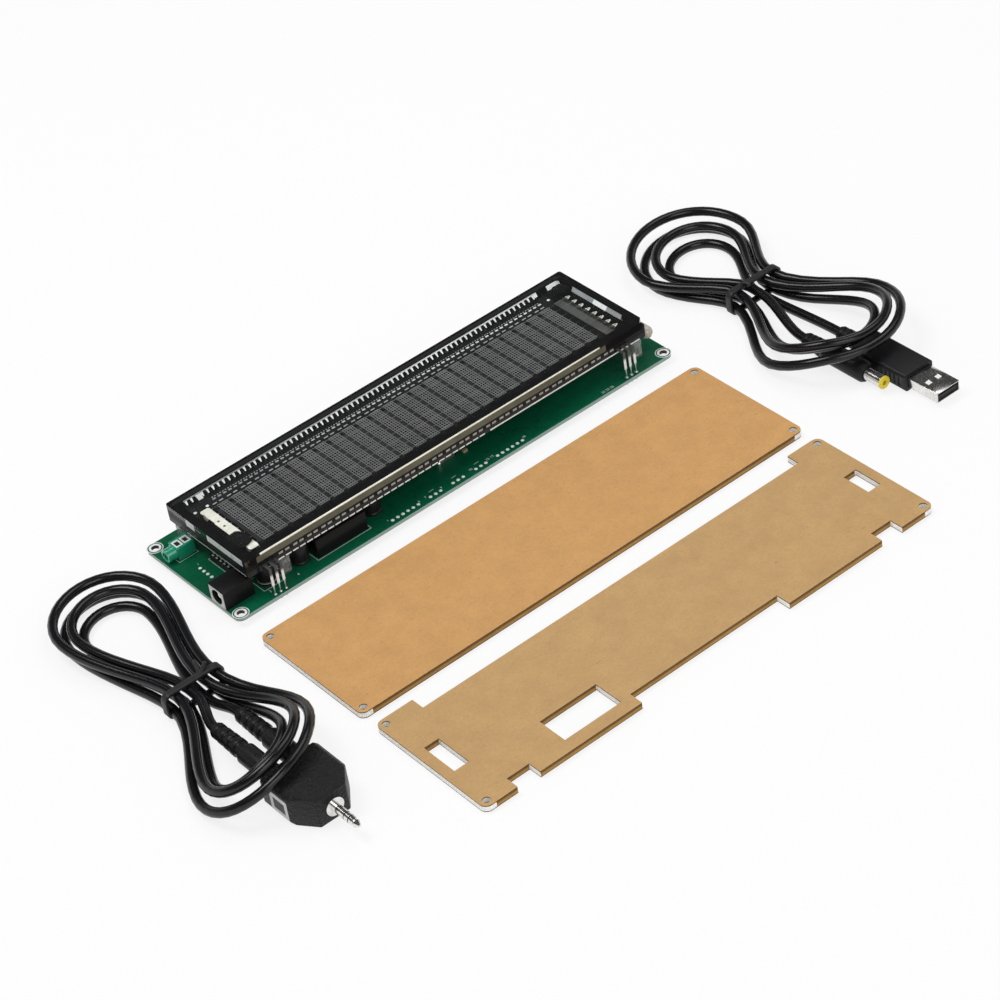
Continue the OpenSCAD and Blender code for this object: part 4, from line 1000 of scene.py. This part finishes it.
def ring(x, y, outer, inner):
    """A printed ring from a circle that is extruded inwards and up, placed from the board's middle."""
    centre = (x * MM, (BOARD_Y + y) * MM, INK[0] * MM)
    obj = start(bpy.ops.mesh.primitive_circle_add, "board_ink", vertices=ROUND_SIDES, radius=outer * MM,
                location=centre)
    edit_all(settle(obj))
    bpy.ops.mesh.extrude_region_move()
    bpy.ops.transform.resize(value=[inner / outer] * 2 + [1], center_override=centre)
    raise_all(INK[1] - INK[0])
    leave_edit()
    return obj


def outline(x0, y0, x1, y1):
    """A printed rectangle, measured from the board's middle."""
    y0, y1 = BOARD_Y + y0, BOARD_Y + y1
    return plate("part_outline", (x0, y0), (x1, y1), *INK, 0.3, 2,
                 window=((x0 + INK_LINE, y0 + INK_LINE), (x1 - INK_LINE, y1 - INK_LINE), 0.2))


def number(words, x, y, size=1.7):
    """Printed numbers, as a mesh, measured from the board's middle."""
    obj = start(bpy.ops.object.text_add, "number", location=(x * MM, (BOARD_Y + y) * MM, INK[0] * MM))
    obj.data.body = words
    obj.data.size = size * MM
    obj.data.extrude = (INK[1] - INK[0]) / 2 * MM
    obj.data.resolution_u = 2
    pick(obj)
    bpy.ops.object.convert(target="MESH")
    return settle(bpy.context.object)


marks = [ring(sx * HOLE_X, sy * HOLE_Y, 3.35, 3.0) for sx in (-1, 1) for sy in (-1, 1)]
for box in [(100.3, -6.3, 103.6, 4.7), (-105.2, 13.7, -96, 21.5), (-96.4, -6.6, -92.2, 7),
            (-93, -25.4, -83, -15.6), (-68, -26.4, -42, -11.2)]:
    marks.append(outline(*box))
for words, x in [("1", -35.6), ("6", -20.2), ("7", -16.9), ("9", -9.0), ("10", 5.4), ("12", 13.9), ("13", 16.2),
                 ("18", 32.6)]:
    marks.append(number(words, x, PAD_ROW))
for words, x, y in [("1", -101.2, 7.0), ("5", -101.2, -9.0), ("20", 100.8, 6), ("21 22 23", 72.5, -30.4)]:
    marks.append(number(words, x, y))
for words, x, y in [("3", -91.8, -27.6), ("4", -78.5, -27.6), ("5", -9, 24.5), ("24", -86.4, -12.4)]:
    marks.append(number(words, x, y, size=1.9))
for x in (-13.6, -2.3, 9.2):
    marks.append(plate("tick", (x, BOARD_Y - 26.2), (x + 2.4, BOARD_Y - 26.0), *INK, 0.05, 1))
board_ink = join(marks)
place_piece(board_ink, ink, "solder_mask")
print("white print:", len(marks), "marks,", len(board_ink.data.polygons), "faces")

# %% [markdown]
# ## Plating and tin on the pads
# The rings round the corner holes are bare and bright, and the other plating lies in green. The empty pads are
# filled with tin, which stands up as a low dome: a disc that is extruded and drawn in, repeated along its row.

# %% Plating and tin
BARE_FROM = 103.5
DOME_R, DOME_H, DOME_TOP, DOME_SIDES = 0.74, 0.12, 0.86, 14
bare = finish("bare_plating", (0.88, 0.89, 0.88), 0.35, scale=900, depth=0.3)
tree = bare.node_tree
covered = calc(tree, "LESS_THAN", calc(tree, "ABSOLUTE", position(tree)["X"]), BARE_FROM)
tint_where(bare, (0.02, 0.14, 0.07), covered)
finish_nodes(bare, "pad_plating")


def tin_dome(x, y):
    """A low dome of tin on a pad, measured from the board's middle."""
    centre = (x * MM, (BOARD_Y + y) * MM, (BOARD_TOP + 0.04) * MM)
    obj = start(bpy.ops.mesh.primitive_circle_add, "tin_domes", vertices=DOME_SIDES, radius=DOME_R * MM,
                fill_type="NGON", location=centre)
    edit_all(settle(obj))
    bpy.ops.mesh.extrude_region_move(TRANSFORM_OT_translate={"value": (0, 0, DOME_H * MM)})
    bpy.ops.transform.resize(value=(DOME_TOP, DOME_TOP, 1), center_override=centre)
    bpy.ops.mesh.select_all(action="SELECT")
    bpy.ops.mesh.normals_make_consistent(inside=False)
    leave_edit()
    return obj


domes = []
for count, x, y, step in [(6, -27.4, -29, (PIN, 0)), (3, -12.4, -29, (PIN, 0)), (3, -1.1, -29, (PIN, 0)),
                          (3, 10.4, -29, (PIN, 0)), (6, 25.3, -29, (PIN, 0)), (5, -101.65, -0.25, (0, PIN)),
                          (4, 101.95, -0.8, (0, PIN))]:
    half = (count - 1) / 2
    domes.append(row(tin_dome(x - half * step[0], y - half * step[1]), count, (*step, 0)))
place_piece(join(domes), bright, "solder")
print("rows of tin:", len(domes))

# %% [markdown]
# ## Faces on the jacks and plugs
# The power jack has a pale moulded front with a round bore: a thin bar that a cylinder is cut out of. The splitter
# has a pale inlay with a dark slot, and the USB plug two bright springs. The green jack has two dark windows in
# bright frames, and the header under the tube a row of bright pin marks.


# %% Pale faces
def bore(obj, place, radius):
    """Cuts a round hole along X out of a piece."""
    cutter = start(bpy.ops.mesh.primitive_cylinder_add, "cutter", vertices=ROUND_SIDES, radius=radius * MM,
                   depth=4 * MM, location=[p * MM for p in place], rotation=(0, math.pi / 2, 0))
    pick(obj)
    cut = obj.modifiers.new("bore", "BOOLEAN")
    cut.object = cutter
    bpy.ops.object.modifier_apply(modifier=cut.name)
    bpy.data.objects.remove(cutter)
    return obj


jack_grey = finish("jack_face", (0.6, 0.61, 0.61), 0.4, scale=1200, depth=0.5)
face = bar("dc_jack_face", (-109.56, BOARD_Y - 23.2, BOARD_TOP + 0.3), (-109.42, BOARD_Y - 14.0, BOARD_TOP + 7.9), 0.05)
place_piece(bore(face, (-109.5, BOARD_Y - 18.6, BOARD_TOP + 4.1), 3.2), jack_grey, "jack_black")
place_piece(bar("splitter_inlay", (-159.76, -57.4, 1.4), (-159.64, -47, 10), 0.05), jack_grey, "grip_black")
place_piece(bar("splitter_slot", (-159.8, -55.6, 3.2), (-159.7, -49, 8), 0.05), grip, "grip_black")
windows = row(plate("jack_windows", (-103.4, 89.3), (-101.4, 92.1), 8.92, 8.98), 2, (3.8, 0, 0))
place_piece(windows, resin, "green_plastic")
finish_nodes(bright, "audio_jack_contacts")
pin_marks = row(plate("header_marks", (-95.5, 67.0), (-94.9, 68.2), 6.12, 6.16, 0.1, 1), 5, (0, PIN, 0))
place_piece(pin_marks, bright, "chip_black")
latches = row(plate("usb_latch_faces", (157.85, -54.15), (159.95, -52.05), 6.3, 6.36), 2, (5.2, 0, 0))
place_piece(latches, bright, "plug_metal")

# %% [markdown]
# ## The cords
# The two leads are the cables made above. The photo shows both from end to end, so the length is that of the route.

# %% Cords
print("cords:", power_cable.name, audio_cable.name)

# %% [markdown]
# ## View transform
# Colours are shown as written, with the standard view transform. The dressed part keeps to the CAD model's box
# but for a small margin, so both boxes are written down at the end.

# %% View transform
bpy.context.scene.view_settings.view_transform = "Standard"
